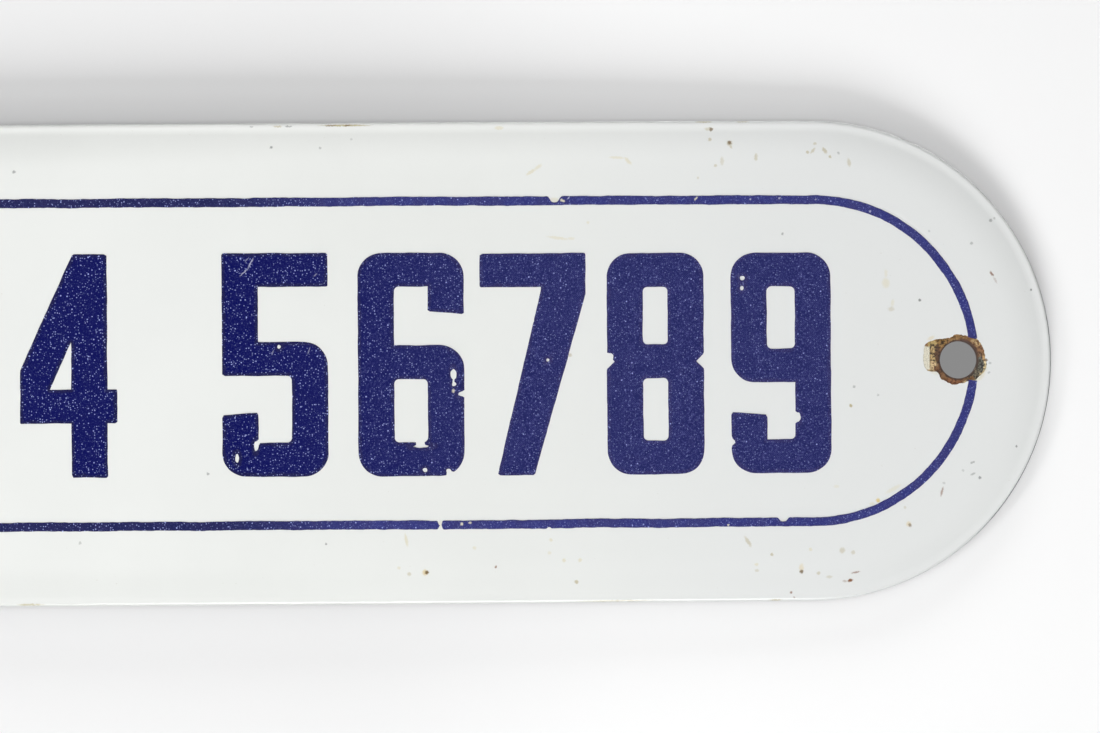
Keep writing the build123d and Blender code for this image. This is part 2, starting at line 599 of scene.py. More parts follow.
ENAMEL_MARKS = {
    Stain.CREAM: marks(
        (531, 172, 5.0, 1.6, 0.75, 30), (538, 167, 4.0, 1.6, 0.65, 35), (617, 157.6, 7.0, 1.2, 0.65, -3),
        (628, 161, 4.5, 1.6, 0.75, -45), (558, 238, 10.0, 1.4, 0.6, -8), (571, 238.5, 3.5, 1.5, 0.5),
        (588, 222.6, 1.5, 1.2, 0.6), (499, 127.5, 4.0, 1.8, 0.7), (406.2, 540, 6.0, 1.4, 0.8, -80),
        (399, 568, 1.6, 1.6, 0.6), (474.5, 548, 1.8, 1.6, 0.6), (551, 540, 1.8, 1.5, 0.7, 90),
        (549.5, 553, 2.0, 1.6, 0.5), (564, 560.4, 1.9, 1.6, 0.75), (580, 560.2, 2.0, 1.6, 0.75),
        (756.5, 564.5, 2.0, 1.4, 0.7), (810.5, 549.3, 1.8, 1.4, 0.7), (885.8, 283, 4.8, 3.6, 0.6, 90),
        (886, 273.5, 3.5, 1.5, 0.45, 90), (892.5, 303, 3.4, 1.6, 0.5, 80), (893.5, 489, 8.0, 2.0, 0.5, 28),
        (872, 503.5, 2.5, 1.5, 0.6), (836.5, 486.4, 2.6, 1.4, 0.4), (980, 376, 6.5, 3.2, 0.6, 45),
        (984, 369, 3.5, 3.0, 0.6), (554.5, 200.5, 5.0, 2.8, 0.6), (783.5, 522.5, 4.5, 3.0, 0.5),
        (440.5, 524, 4.0, 1.8, 0.5, 90), (935, 373, 5.0, 1.6, 0.35, -15),
    ),
    Stain.GOLD: marks(
        (425.2, 572.6, 2.9, 2.7, 0.7), (801.5, 568, 4.0, 2.2, 0.4, 90), (908.8, 524, 2.6, 2.2, 0.45),
        (878.2, 500.3, 2.2, 1.8, 0.95), (931.0, 338.0, 3.6, 1.6, 0.35, 25),
    ),
    Stain.TAN: marks(
        (709, 128.5, 4.0, 1.6, 0.45), (710, 139.2, 1.6, 1.6, 0.6), (729.5, 143, 2.8, 2.5, 0.55),
        (731, 146.5, 2.0, 1.0, 0.5, -60), (722, 161, 4.0, 1.8, 0.35, 90), (715.6, 165.5, 1.4, 1.4, 0.5),
        (756, 157, 3.4, 1.7, 0.5, 90), (813, 150.5, 3.5, 1.3, 0.5, 50), (815, 143.5, 1.8, 1.3, 0.45),
        (807.6, 152.2, 1.6, 1.4, 0.6), (824.7, 150.3, 3.4, 1.6, 0.6, -55), (830, 156.6, 1.4, 1.4, 0.7),
        (849, 162.5, 4.0, 1.7, 0.45, -80), (698, 178, 1.2, 1.2, 0.35), (409, 574.2, 1.9, 1.8, 0.45),
        (576.5, 582, 2.0, 1.8, 0.7), (748, 541.5, 5.5, 1.7, 0.5, -58), (772, 554.6, 1.6, 1.4, 0.6),
        (757, 570.5, 2.0, 1.4, 0.35), (818.5, 573.2, 1.8, 1.5, 0.5), (829.5, 577, 3.0, 1.4, 0.35),
        (842.3, 550.3, 3.0, 2.4, 0.45), (853, 552.4, 2.2, 1.7, 0.4), (891.3, 309, 3.0, 2.2, 0.35),
        (850.8, 405.6, 1.6, 1.5, 0.9), (905, 507.4, 1.4, 1.3, 0.3), (570, 355, 1.8, 1.6, 0.5),
        (776, 600.4, 6.0, 0.8, 0.6), (615, 601.2, 34.0, 0.7, 0.5, 0.3), (345, 125.0, 22.0, 0.9, 0.9, -0.3),
        (704, 121.4, 7.5, 0.8, 0.8), (743, 121.2, 6.0, 0.7, 0.6), (277, 126.2, 4.0, 0.8, 0.6),
        (30, 605.2, 12.0, 0.9, 0.7),
    ),
    Stain.GREY: marks(
        (838.6, 153, 1.4, 1.3, 0.45), (782.3, 233.7, 1.3, 1.2, 0.6), (919.6, 300.2, 1.3, 1.3, 0.9),
        (929.2, 231, 1.2, 1.2, 0.35), (971.5, 243.3, 1.6, 1.4, 0.5), (991.3, 220.2, 1.7, 1.5, 0.6),
        (995, 218, 1.2, 1.2, 0.4), (1031.6, 289.7, 1.1, 1.1, 0.9), (854.3, 386.6, 1.3, 1.3, 0.5),
        (878, 395, 1.2, 1.1, 0.4), (1017, 446.6, 1.2, 1.2, 0.8), (972.5, 462.4, 2.4, 1.0, 0.55, 25),
        (973, 474, 2.6, 1.0, 0.5, 25), (979.8, 477.6, 1.4, 1.4, 0.75), (963, 470.5, 1.3, 1.2, 0.3),
        (944, 483, 1.5, 1.2, 0.3), (990, 363, 1.4, 1.2, 0.4), (989, 372.5, 1.4, 1.0, 0.4),
        (271, 147, 1.2, 1.4, 0.8), (320, 148, 1.1, 1.3, 0.5), (14, 172, 1.4, 1.8, 0.7), (406, 364, 1.5, 1.8, 0.45),
        (208, 474, 1.2, 1.4, 0.6), (326, 544, 1.1, 1.1, 0.7), (80, 543, 1.4, 1.4, 0.4), (288, 126.1, 3.0, 0.7, 0.7),
        (251, 126.4, 1.8, 0.8, 0.5), (351, 139, 1.2, 1.1, 0.3),
    ),
    Stain.UMBER: marks(
        (495.8, 566.9, 1.3, 1.3, 0.9), (856, 572.4, 4.0, 0.9, 0.7, 12), (850.5, 580.7, 2.8, 1.4, 1.0, 10),
        (845, 581.3, 2.0, 1.1, 0.4), (791.5, 592.7, 1.2, 1.2, 0.8), (794.5, 597.8, 1.0, 1.0, 0.5),
        (991.8, 273.8, 2.8, 1.1, 0.85, -55), (995.5, 280.5, 3.4, 1.0, 0.3, -62), (942, 491.5, 4.4, 1.2, 0.65, 76),
    ),
    Stain.RUST: marks(
        (711.3, 129, 2.0, 1.6, 0.8), (729.7, 142.4, 1.9, 1.9, 0.9), (426.8, 572.4, 1.9, 1.8, 0.95),
        (801.7, 571.8, 1.8, 2.0, 0.85), (909.9, 525.2, 1.6, 1.7, 0.65), (330, 125.3, 4.5, 0.8, 0.6),
        (347, 125.0, 2.4, 0.9, 0.8), (986.0, 360.0, 1.5, 1.5, 0.9),
    ),
}

PRINT_MARKS = {
    Stain.PALE: marks(
        (250.5, 263.5, 5.5, 0.7, 0.8, 62), (244.5, 272.0, 6.0, 0.7, 0.75, 42), (247.0, 259.5, 3.0, 0.5, 0.5, 50),
        (315.5, 275.0, 2.2, 0.7, 0.5, 40), (309.0, 350.5, 3.4, 0.6, 0.5, 70), (273.0, 352.0, 3.0, 0.6, 0.4, 65),
        (569.0, 197.2, 2.6, 0.6, 0.8, 55), (750.2, 199.4, 0.9, 0.9, 0.8), (779.5, 198.2, 1.3, 1.0, 0.85),
        (815.5, 199.4, 0.9, 0.9, 0.7), (870.0, 211.5, 1.3, 1.0, 0.85),
    ),
    Stain.CREAM: marks(
        (461.7, 524.0, 1.6, 1.3, 0.9, 35), (470.0, 522.7, 1.5, 1.1, 0.8, 10), (728.3, 525.0, 1.0, 0.8, 0.8),
        (696.0, 198.4, 2.3, 0.9, 0.9, 48), (562.5, 200.5, 2.4, 1.3, 0.95, -20), (453.5, 391.0, 1.2, 2.0, 0.8),
    ),
}


@dataclass(frozen=True)
class Weathering:
    """Lays marks over a coat: soft ellipses whose edges are pushed about by a fine noise.

    The sway is how far, in metres. A mark is full up to one share of its radius and gone at another, and
    one that is nearly round is drawn as a circle.
    """

    blank: Blank
    view: Viewpoint
    sway: float = 0.0004
    sway_scale: float = 3500.0
    full_at: float = 0.55
    gone_at: float = 1.45
    nearly_round: float = 1.3

    def mask(self, nodes: Nodes, drawn: list[Mark]) -> Socket:
        """Draws some marks: at each point the strongest of them counts.

        Args:
            nodes: The material's nodes.
            drawn: Which marks.

        Returns:
            The mask's socket.
        """
        ragged, masks = nodes.new("ShaderNodeTexNoise"), []
        nodes.feed(ragged, {"Vector": nodes.place, "Scale": self.sway_scale})
        shifted = nodes.vector("MULTIPLY_ADD", ragged.outputs["Color"], (self.sway, 0.0, self.sway), nodes.place)
        shifted = nodes.vector("MULTIPLY", shifted, (1.0, 0.0, 1.0))
        for mark in drawn:
            x, _, z = self.blank.place(np.array([[*self.view.on_face(self.blank, mark.px, mark.py), 0.0]]))[0]
            centre = (x * MILLIMETRE + self.sway / 2, 0.0, z * MILLIMETRE + self.sway / 2)
            halves = (mark.half_length, mark.half_width)
            length, width = (half * PIXEL * MILLIMETRE for half in halves)
            if max(halves) < self.nearly_round * min(halves):
                unit, reach = (length + width) / 2, nodes.vector("DISTANCE", shifted, centre)
            else:
                local = nodes.new("ShaderNodeMapping")
                local.vector_type = "TEXTURE"
                nodes.feed(local, {
                    "Vector": shifted, "Location": centre, "Rotation": (0.0, -math.radians(mark.angle), 0.0),
                    "Scale": (length, 1.0, width),
                })
                unit, reach = 1.0, nodes.vector("LENGTH", local.outputs[0])
            masks.append(nodes.ramp(reach, self.gone_at * unit, self.full_at * unit, 0.0, mark.strength))
        return nodes.maths("MAXIMUM", *masks)

    def lay(self, nodes: Nodes, colour: Socket, table: dict[Stain, list[Mark]]) -> Socket:
        """Lays each stain's marks over a colour, in the table's order.

        Args:
            nodes: The material's nodes.
            colour: The colour below.
            table: The marks of each stain.

        Returns:
            The colour with the marks.
        """
        for stain, drawn in table.items():
            colour = nodes.mix(self.mask(nodes, drawn), colour, shade(*stain.value))
        return colour


@dataclass(frozen=True)
class WhiteEnamel:
    """Fired white cover coat: glossy, faintly rippled, with specks and stains, and painted shade that makes it
    darker and a little bluer to the right.
    """

    wear: Weathering
    colour: Tone = (228, 230, 227)
    clouded: Tone = (230, 232, 229)
    # The painted shade's tone at the right end, and where along X it starts and is full, in metres.
    shaded_right_colour: Tone = (225, 227, 226)
    speck: Tone = (196, 192, 182)
    right_shade_from: float = 0.04
    right_shade_to: float = 0.11
    roughness: float = 0.2
    ripple_mm: float = 2.2
    ripple_depth_mm: float = 0.004

    def build(self) -> Material:
        """Makes the material: clouds, painted shade on the right side, fine specks and then the stains.

        Returns:
            The material.
        """
        nodes = Nodes("white_enamel")
        colour = nodes.mix(nodes.ramp(nodes.noise(18.0, 3.0), 0.3, 0.7), shade(*self.colour), shade(*self.clouded))
        # Painted shade: darker and a little bluer towards the right end.
        right_shade = nodes.ramp(nodes.axis("X"), self.right_shade_from, self.right_shade_to)
        colour = nodes.mix(right_shade, colour, shade(*self.shaded_right_colour))
        colour = nodes.mix(nodes.ramp(nodes.noise(0.5, 3.0), 0.72, 0.8, 0.0, 0.35), colour, shade(*self.speck))
        nodes.bump(nodes.noise(self.ripple_mm, 1.0), self.ripple_depth_mm)
        return nodes.finish(self.wear.lay(nodes, colour, ENAMEL_MARKS), self.roughness)


@dataclass(frozen=True)
class PinholesAndGlints:
    """Light specks in the print, partly pinholes and partly painted glints: their radius in spacings, and the
    strongest one's strength at each side.
    """

    spacing_mm: float
    reach: float
    left: float
    right: float
    full_share: float = 0.35
    least_chance: float = 0.1


@dataclass(frozen=True)
class BlueEnamel:
    """Screened cobalt enamel: thick, glossy, with the cloth's weave, light pinholes, painted glints and greyer
    edges.

    The print is deep and full of light specks to the left, and greyer, with more of the weave, to the right. The
    greyer tone to the right is painted reflection haze, and many of the light specks are painted glints, denser to
    the left. The weave and the grain are each as strong as their two numbers say, at the left and at the right.
    """

    wear: Weathering
    name: str = "blue_enamel"
    deep: Tone = (0, 6, 84)
    # The tones at the right: greyer by painted reflection haze.
    wear_and_painted_light: Tone = (35, 38, 93)
    deep_edge: Tone = (24, 24, 70)
    edge_wear_and_painted_light: Tone = (47, 45, 92)
    thread: Tone = (92, 96, 158)
    # Colour of the light specks: pinholes, and painted glints.
    speck: Tone = (176, 188, 250)
    pinholes: tuple[PinholesAndGlints, ...] = (PinholesAndGlints(0.36, 0.34, 0.95, 0.42), PinholesAndGlints(0.90, 0.18, 1.0, 0.80))
    weave_mm: float = 0.36
    weave_shown: tuple[float, float] = (0.10, 0.40)
    weave_depth_mm: float = 0.004
    grain_mm: float = 0.24
    grain_shown: tuple[float, float] = (0.22, 0.60)
    ripple_mm: float = 0.6
    ripple_depth_mm: float = 0.02
    roughness: float = 0.25
    gloss: float = 0.05
    # Where the painted haze, the weave, the grain and the painted glints go from their left to their right
    # strength, in metres along X.
    painted_light_from: float = 0.004
    painted_light_to: float = 0.072

    def along(self, nodes: Nodes, left: float = 0.0, right: float = 1.0) -> Socket:
        """Goes from one number at the left of the plate to another at the right."""
        return nodes.ramp(nodes.axis("X"), self.painted_light_from, self.painted_light_to, left, right)

    def specks(self, nodes: Nodes, holes: PinholesAndGlints) -> Socket:
        """Draws round light specks, pinholes and painted glints, each of its own strength: its spot, times its
        chance, times its side's strength.

        Args:
            nodes: The material's nodes.
            holes: Which pinholes.

        Returns:
            The mask's socket.
        """
        distance, chance = nodes.cells(holes.spacing_mm)
        spot = nodes.ramp(distance, holes.reach, holes.full_share * holes.reach)
        chance = nodes.ramp(chance, holes.least_chance, 1.0)
        return nodes.maths("MULTIPLY", spot, chance, self.along(nodes, holes.left, holes.right))

    def cloth(self, nodes: Nodes) -> tuple[Socket, Socket]:
        """Draws what the screen's cloth leaves: the product of two sine waves, patchy, and a finer grain.

        Args:
            nodes: The material's nodes.

        Returns:
            How much of the thread's colour shows, and the height of the weave.
        """
        turn = 2 * math.pi / (self.weave_mm * MILLIMETRE)
        warp, weft = (nodes.maths("SINE", nodes.maths("MULTIPLY", nodes.axis(letter), turn)) for letter in "XZ")
        dots = nodes.ramp(nodes.maths("MULTIPLY", warp, weft), 0.1, 0.9)
        patchy = nodes.ramp(nodes.noise(1.6, 3.0), 0.4, 0.65)
        woven = nodes.maths("MULTIPLY", dots, patchy, self.along(nodes, *self.weave_shown))
        grain = nodes.ramp(nodes.noise(self.grain_mm, 2.0), 0.46, 0.76)
        grain = nodes.maths("MULTIPLY", grain, self.along(nodes, *self.grain_shown))
        return nodes.maths("MAXIMUM", woven, grain), nodes.maths("ADD", warp, weft)

    def build(self) -> Material:
        """Makes the material: the blues with painted reflection haze to the right, then the cloth, the pinholes
        with painted glints, and the marks.

        Returns:
            The material.
        """
        nodes = Nodes(self.name)
        painted_haze_share = self.along(nodes)
        # Painted reflection haze: the blue turns greyer towards the right.
        middle = nodes.mix(painted_haze_share, shade(*self.deep), shade(*self.wear_and_painted_light))
        edge = nodes.mix(painted_haze_share, shade(*self.deep_edge), shade(*self.edge_wear_and_painted_light))
        patchy = nodes.ramp(nodes.noise(2.4, 3.0), 0.3, 0.7, -0.25, 0.25)
        inward = nodes.ramp(nodes.maths("ADD", nodes.tint(), patchy), 0.2, 0.9)
        shown, weave = self.cloth(nodes)
        colour = nodes.mix(shown, nodes.mix(inward, edge, middle), shade(*self.thread))
        # Light specks, partly pinholes and partly painted glints.
        specks = nodes.maths("MAXIMUM", *(self.specks(nodes, holes) for holes in self.pinholes))
        colour = nodes.mix(specks, colour, shade(*self.speck))
        nodes.feed(nodes.shader, {"Specular IOR Level": self.gloss})
        nodes.bump(weave, self.weave_depth_mm)
        nodes.bump(nodes.noise(self.ripple_mm, 3.0), self.ripple_depth_mm)
        return nodes.finish(self.wear.lay(nodes, colour, PRINT_MARKS), self.roughness)


@dataclass(frozen=True)
class GroundCoat:
    """Dark first coat that is left bare on the back: blue-black, mottled, with pinholes."""

    colour: Tone = (52, 58, 66)
    mottled: Tone = (70, 76, 82)
    speck: Tone = (148, 152, 154)
    speck_mm: float = 1.6
    roughness: float = 0.38

    def build(self) -> Material:
        """Makes the material.

        Returns:
            The material.
        """
        nodes = Nodes("ground_coat")
        base = nodes.mix(nodes.ramp(nodes.noise(6.0, 4.0), 0.3, 0.7), shade(*self.colour), shade(*self.mottled))
        speck = nodes.ramp(nodes.cells(self.speck_mm)[0], 0.13, 0.06, 0.0, 0.7)
        nodes.bump(nodes.noise(1.2, 3.0), 0.02)
        return nodes.finish(nodes.mix(speck, base, shade(*self.speck)), self.roughness)


@dataclass(frozen=True)
class BrokenEnamelSteel:
    """Rusted steel and crushed enamel in the chip, coloured from the mesh and roughened here."""

    grain: Tone = (70, 50, 38)
    grain_mm: float = 0.18
    roughness: float = 0.72

    def build(self) -> Material:
        """Makes the material.

        Returns:
            The material.
        """
        nodes = Nodes("broken_enamel")
        grain = nodes.ramp(nodes.noise(self.grain_mm, 4.0), 0.4, 0.7, 0.0, 0.4)
        nodes.bump(nodes.noise(self.grain_mm, 3.0), 0.03)
        return nodes.finish(nodes.mix(grain, nodes.tint(), shade(*self.grain)), self.roughness)


class Coat(Enum):
    """Material slots of the plate."""

    WHITE = 0
    GROUND = 1
    BROKEN = 2


def polar(centre: Array | float, radius: Array | float, angle: Array, height: Array | float) -> Array:
    """Blank points round a centre on the middle line, from their radius, angle and height."""
    return np.stack(np.broadcast_arrays(centre + radius * np.cos(angle), radius * np.sin(angle), height), axis=-1)


@dataclass(frozen=True)
class Patch:
    """An area of the chip with one colour and darker specks, about the hole's centre, in millimetres."""

    across: float
    up: float
    half_across: float
    half_up: float
    tone: Tone
    dark: Tone
    dark_from: float


@dataclass(frozen=True)
class Crater:
    """Enamel broken away round the right screw hole, in polar coordinates about the hole.

    Angles are in degrees, 0 towards the tip and 90 up. Radii are in millimetres.
    """

    outline: tuple[tuple[float, float], ...] = (
        (-180, 5.89), (-170, 5.84), (-161, 5.50), (-156, 4.85), (-153, 4.29), (-147, 4.07), (-133, 4.38),
        (-121, 4.16), (-106, 4.21), (-95, 4.13), (-84, 3.93), (-70, 3.86), (-62, 4.02), (-53, 4.43),
        (-42, 4.38), (-33, 4.57), (-17, 4.80), (-8, 4.72), (0, 4.43), (20, 4.57), (37, 4.63), (50, 4.65),
        (64, 4.34), (77, 4.16), (95, 4.28), (104, 4.10), (112, 3.92), (128, 4.43), (140, 5.24), (148, 5.81),
        (154, 6.22), (168, 6.02), (180, 5.89),
    )
    mean_radius: float = 4.0
    wall_width: float = 0.12
    floor: float = -0.28
    tab_floor: float = -0.07
    tab_across: float = -4.65
    highest: float = -0.02
    rust: Tone = (134, 98, 66)
    lower_shadow: Tone = (62, 60, 52)
    upper_shadow: Tone = (74, 48, 42)
    hole_shadow: Tone = (58, 44, 38)
    tab_enamel: Tone = (226, 221, 202)
    crushed_lip: Tone = (226, 208, 170)
    patches: tuple[Patch, ...] = (
        Patch(-0.9, 3.9, 2.2, 0.8, (152, 118, 74), (84, 60, 36), 0.10),
        Patch(-3.0, 2.9, 1.7, 0.9, (148, 114, 66), (60, 44, 26), -0.05),
        Patch(-4.4, 2.4, 0.9, 1.0, (192, 168, 112), (70, 54, 30), 0.2),
        Patch(-4.3, 0.8, 1.1, 1.9, (186, 160, 112), (44, 34, 22), -0.15),
        Patch(-4.4, -1.2, 1.0, 0.9, (212, 188, 146), (128, 96, 66), 0.15),
        Patch(-3.5, 1.0, 0.45, 1.6, (92, 66, 46), (38, 28, 22), 0.0),
        Patch(-1.3, -3.8, 2.1, 0.7, (146, 100, 68), (98, 62, 42), 0.1),
        Patch(-3.2, -1.9, 0.9, 1.0, (122, 86, 58), (78, 54, 38), 0.0),
        Patch(4.1, 1.5, 0.8, 2.0, (150, 112, 80), (90, 62, 44), 0.0),
        Patch(3.2, 3.1, 1.0, 0.8, (196, 168, 124), (112, 80, 54), 0.0),
        Patch(4.5, 0.4, 0.5, 0.9, (196, 160, 112), (96, 66, 42), 0.2),
        Patch(3.9, -2.1, 1.4, 1.9, (236, 218, 174), (92, 82, 62), 0.2),
        Patch(1.8, -3.9, 1.1, 0.6, (226, 200, 150), (110, 84, 56), 0.2),
        Patch(3.75, -0.7, 0.5, 1.3, (104, 104, 94), (38, 40, 42), -0.1),
        Patch(3.0, -2.5, 0.55, 0.8, (122, 114, 94), (44, 44, 42), -0.05),
        Patch(4.75, -0.05, 0.3, 0.3, (84, 58, 38), (60, 40, 28), 0.0),
    )

    def edge(self, angle: Array) -> Array:
        """Radius of the broken enamel's edge: straight runs between the outline's points, made ragged.

        Args:
            angle: Angles about the hole, in radians.

        Returns:
            The radius at each angle.
        """
        degrees = (np.degrees(angle) + 180.0) % 360.0 - 180.0
        radius = np.interp(degrees, *np.transpose(self.outline))
        x, y = np.cos(angle) * self.mean_radius, np.sin(angle) * self.mean_radius
        return radius + rough(x, y, (0.07, 0.35, 5), (0.04, 0.16, 6))

    def height(self, across: Array, up: Array, hole_radius: float) -> Array:
        """Height of the crater's floor: lumpy rust that falls to the hole, and a shallow tab to the left.

        Args:
            across: Distance from the hole's centre towards the tip.
            up: Distance above the hole's centre.
            hole_radius: Radius of the hole.

        Returns:
            The height out of the face, below 0 in the chip.
        """
        lumps = rough(across, up, (0.09, 0.55, 11), (0.06, 0.24, 12), (0.03, 0.12, 13))
        falling = 0.16 * smooth_step(np.hypot(across, up), hole_radius + 0.5, hole_radius)
        tab = smooth_step(-across, -self.tab_across, -self.tab_across + 0.2)
        shallow = self.tab_floor + rough(across, up, (0.01, 0.7, 14))
        return np.minimum((self.floor + lumps - falling) * (1 - tab) + shallow * tab, self.highest)

    def tint(self, across: Array, up: Array, height: Array) -> Array:
        """Colour of the chip by place: layers laid one over the other, each with its mask.

        First come the patches with their dark specks. The shadows round the hole, the tab of enamel to
        the left and the crushed lip at the broken edge follow.

        Args:
            across: Distance from the hole's centre towards the tip.
            up: Distance above the hole's centre.
            height: Height of the surface there.

        Returns:
            Rows of red, green and blue, linear.
        """
        inwards, degrees = -np.hypot(across, up), np.degrees(np.arctan2(up, across))
        warp = rough(across, up, (0.22, 0.5, 41), (0.12, 0.2, 42))
        grain = rough(across, up, (1.0, 0.26, 43), (0.7, 0.13, 44))
        layers = [(np.ones_like(across), self.rust)]
        for patch in self.patches:
            reach = np.hypot((across - patch.across) / patch.half_across, (up - patch.up) / patch.half_up)
            mask = smooth_step(-(reach + warp), -1.15, -0.85)
            specks = smooth_step(grain, patch.dark_from, patch.dark_from + 0.3)
            layers += [(mask, patch.tone), (mask * specks, patch.dark)]
        lower = smooth_step(degrees, -75, -60) * smooth_step(-degrees, -14, 0) * smooth_step(grain, -0.5, -0.1)
        upper = smooth_step(degrees, 12, 24) * smooth_step(-degrees, -98, -80)
        lip = smooth_step(-height, self.wall_width, 0.02) * smooth_step(-across, 4.7, 4.5)
        layers += [
            (lower * smooth_step(inwards - warp, -3.95, -3.65), self.lower_shadow),
            (0.85 * upper * smooth_step(inwards - 0.5 * warp, -3.72, -3.5), self.upper_shadow),
            (0.9 * smooth_step(inwards - 0.5 * warp, -3.5, -3.25), self.hole_shadow),
            (smooth_step(-across, 4.72, 4.95) * smooth_step(np.abs(up - 0.4) + warp, 2.1, 1.8), self.tab_enamel),
            (0.35 * np.clip(lip, 0, 1), self.crushed_lip),
        ]
        out = np.zeros(across.shape + (3,))
        for mask, tone in layers:
            out = out * (1 - mask[..., None]) + np.array(shade(*tone)[:3]) * mask[..., None]
        return out


@dataclass
class Plate:
    """The pressed plate as one closed skin: face, rim, back, hole walls and the chip.

    Each flat zone's rings are given by their count and by the power that their steps grow with.
    """

    blank: Blank
    crater: Crater
    rays_on_arc: int = 216
    rays_on_line: int = 88
    middle_columns: int = 71
    hole_round: float = 0.42
    hole_wall: Tone = (70, 54, 44)
    floor_rings: int = 30
    lip_steps: tuple[float, ...] = (0.35, 0.75, 1.0)
    round_rings: int = 6
    wall_rings: int = 6
    right_rings: tuple[int, float] = (22, 1.8)
    left_rings: tuple[int, float] = (22, 1.5)
    back_rings: tuple[int, float] = (12, 1.4)
    rim_steps: int = 12
    # How far in from the edge the dark hair line at the right tip reaches: bare ground coat, and painted contact
    # shadow.
    bare_and_shadow_edge: float = 0.17

    def rays(self) -> Array:
        """Angles about the hole: even over the rim's arc and over the line where the bow begins.

        Returns:
            The angles, anticlockwise from the lower corner.
        """
        b = self.blank
        corner = math.atan2(b.flat_half_height, b.half_straight - b.hole_along)
        arc = np.linspace(-corner, corner, self.rays_on_arc + 1)[:-1]
        line = np.linspace(corner, 2 * math.pi - corner, self.rays_on_line + 1)[:-1]
        return np.concatenate([arc, line])

    def zone_edge(self, angles: Array, depth: float) -> Array:
        """Where each ray leaves the flat end: on the rim's circle, or on the line where the bow begins.

        Args:
            angles: Angles of the rays about the hole.
            depth: Height out of the face.

        Returns:
            A blank point for each ray.
        """
        b = self.blank
        offset = b.hole_along - b.half_straight
        cosine, sine = np.cos(angles), np.sin(angles)
        on_arc = -offset * cosine + np.sqrt(b.flat_half_height**2 - (offset * sine) ** 2)
        on_line = -offset / np.minimum(cosine, -1e-9)
        is_arc = np.arange(len(angles)) < self.rays_on_arc
        return polar(b.hole_along, np.where(is_arc, on_arc, on_line), angles, depth)

    def mirrored(self, grid: Array, side: int) -> Array:
        """The grid itself for the right end (side 1), or its mirror image for the left (side -1)."""
        return grid * np.array([side, 1.0, 1.0])

    def ring(self, angles: Array, radius: Array | float, depth: Array | float) -> Array:
        """A ring about the hole, whose axis stands square to the wall and not to the tilted end."""
        return polar(self.blank.hole_along - depth * math.tan(self.blank.bow_angle), radius, angles, depth)

    def outward_rings(self, start: Array, angles: Array, depth: float, count: int, bias: float) -> Array:
        """Rings from a start ring to the zone's edge: the straight way there, in steps that grow.

        Args:
            start: The innermost ring.
            angles: Angle of each ray.
            depth: Height out of the face of the flat zone.
            count: Number of rings.
            bias: Power of the steps' growth.

        Returns:
            Rings by points by coordinates.
        """
        steps = (np.linspace(0, 1, count) ** bias)[:, None, None]
        return start[None] * (1 - steps) + self.zone_edge(angles, depth)[None] * steps

    def add_right_face(self, surface: Surface) -> Array:
        """Adds the right end's face with the chip: its floor, its steep lip and the flat face beyond.

        Args:
            surface: Where the grids go.

        Returns:
            The ring where the hole's wall starts.
        """
        b, crater, angles = self.blank, self.crater, self.rays()
        foot = crater.edge(angles) - crater.wall_width
        radius = b.hole_radius + (foot - b.hole_radius) * np.linspace(0, 1, self.floor_rings)[:, None]
        height = crater.height(radius * np.cos(angles), radius * np.sin(angles), b.hole_radius)
        floor = polar(b.hole_along, radius, angles, height)
        floor[0] = self.ring(angles, b.hole_radius, height[0])
        steps = np.array(self.lip_steps)[:, None]
        lip = polar(b.hole_along, foot + crater.wall_width * steps, angles, height[-1] * (1 - steps))
        chip = np.concatenate([floor, lip])
        tint = crater.tint(chip[..., 0] - b.hole_along, chip[..., 1], chip[..., 2])
        surface.add_grid(chip, Coat.BROKEN.value, True, tint)
        surface.add_grid(self.outward_rings(chip[-1], angles, 0.0, *self.right_rings), Coat.WHITE.value, True)
        return floor[0]

    def add_left_face(self, surface: Surface) -> Array:
        """Adds the left end's face, with the enamel rounded over into the hole by a quarter circle.

        Args:
            surface: Where the grids go.

        Returns:
            The ring where the hole's wall starts, for the right end.
        """
        angles, r = self.rays(), self.hole_round
        rounded = np.stack([
            self.ring(angles, self.blank.hole_radius + r * (1 - math.sin(t)), -r * (1 - math.cos(t)))
            for t in np.linspace(0, math.pi / 2, self.round_rings)
        ])
        for grid in (rounded, self.outward_rings(rounded[0], angles, 0.0, *self.left_rings)):
            surface.add_grid(self.mirrored(grid, -1), Coat.WHITE.value, True)
        return rounded[-1]

    def add_back_and_wall(self, surface: Surface, front_ring: Array, side: int, coat: Coat) -> None:
        """Adds an end's back and the hole's wall between the two faces.

        Args:
            surface: Where the grids go.
            front_ring: The ring where the wall starts, for the right end.
            side: 1 for the right end, -1 for the left.
            coat: What covers the wall.
        """
        b, angles = self.blank, self.rays()
        back_ring = self.ring(angles, b.hole_radius, -b.thickness)
        steps = np.linspace(0, 1, self.wall_rings)[:, None]
        depth = front_ring[:, 2] * (1 - steps) + back_ring[:, 2] * steps
        wall = np.stack([self.ring(angles, b.hole_radius, row) for row in depth])
        tint = np.broadcast_to(shade(*self.hole_wall)[:3], wall.shape)
        surface.add_grid(self.mirrored(wall, side), coat.value, True, tint)
        back = self.outward_rings(back_ring, angles, -b.thickness, *self.back_rings)
        surface.add_grid(self.mirrored(back, side), Coat.GROUND.value, True)

    def add_middle(self, surface: Surface) -> None:
        """Adds the bowed middle's face and back: rows where the ends' rays meet it, even columns.

        Args:
            surface: Where the grids go.
        """
        b = self.blank
        line = self.zone_edge(self.rays(), 0.0)[self.rays_on_arc:]
        rows = np.sort(np.concatenate([line[:, 1], [-b.flat_half_height]]))
        columns = np.linspace(-b.half_straight, b.half_straight, self.middle_columns)
        along, up = np.meshgrid(columns, rows, indexing="ij")
        for depth, coat in ((0.0, Coat.WHITE), (-b.thickness, Coat.GROUND)):
            surface.add_grid(np.stack([along, up, np.full(along.shape, depth)], axis=-1), coat.value)

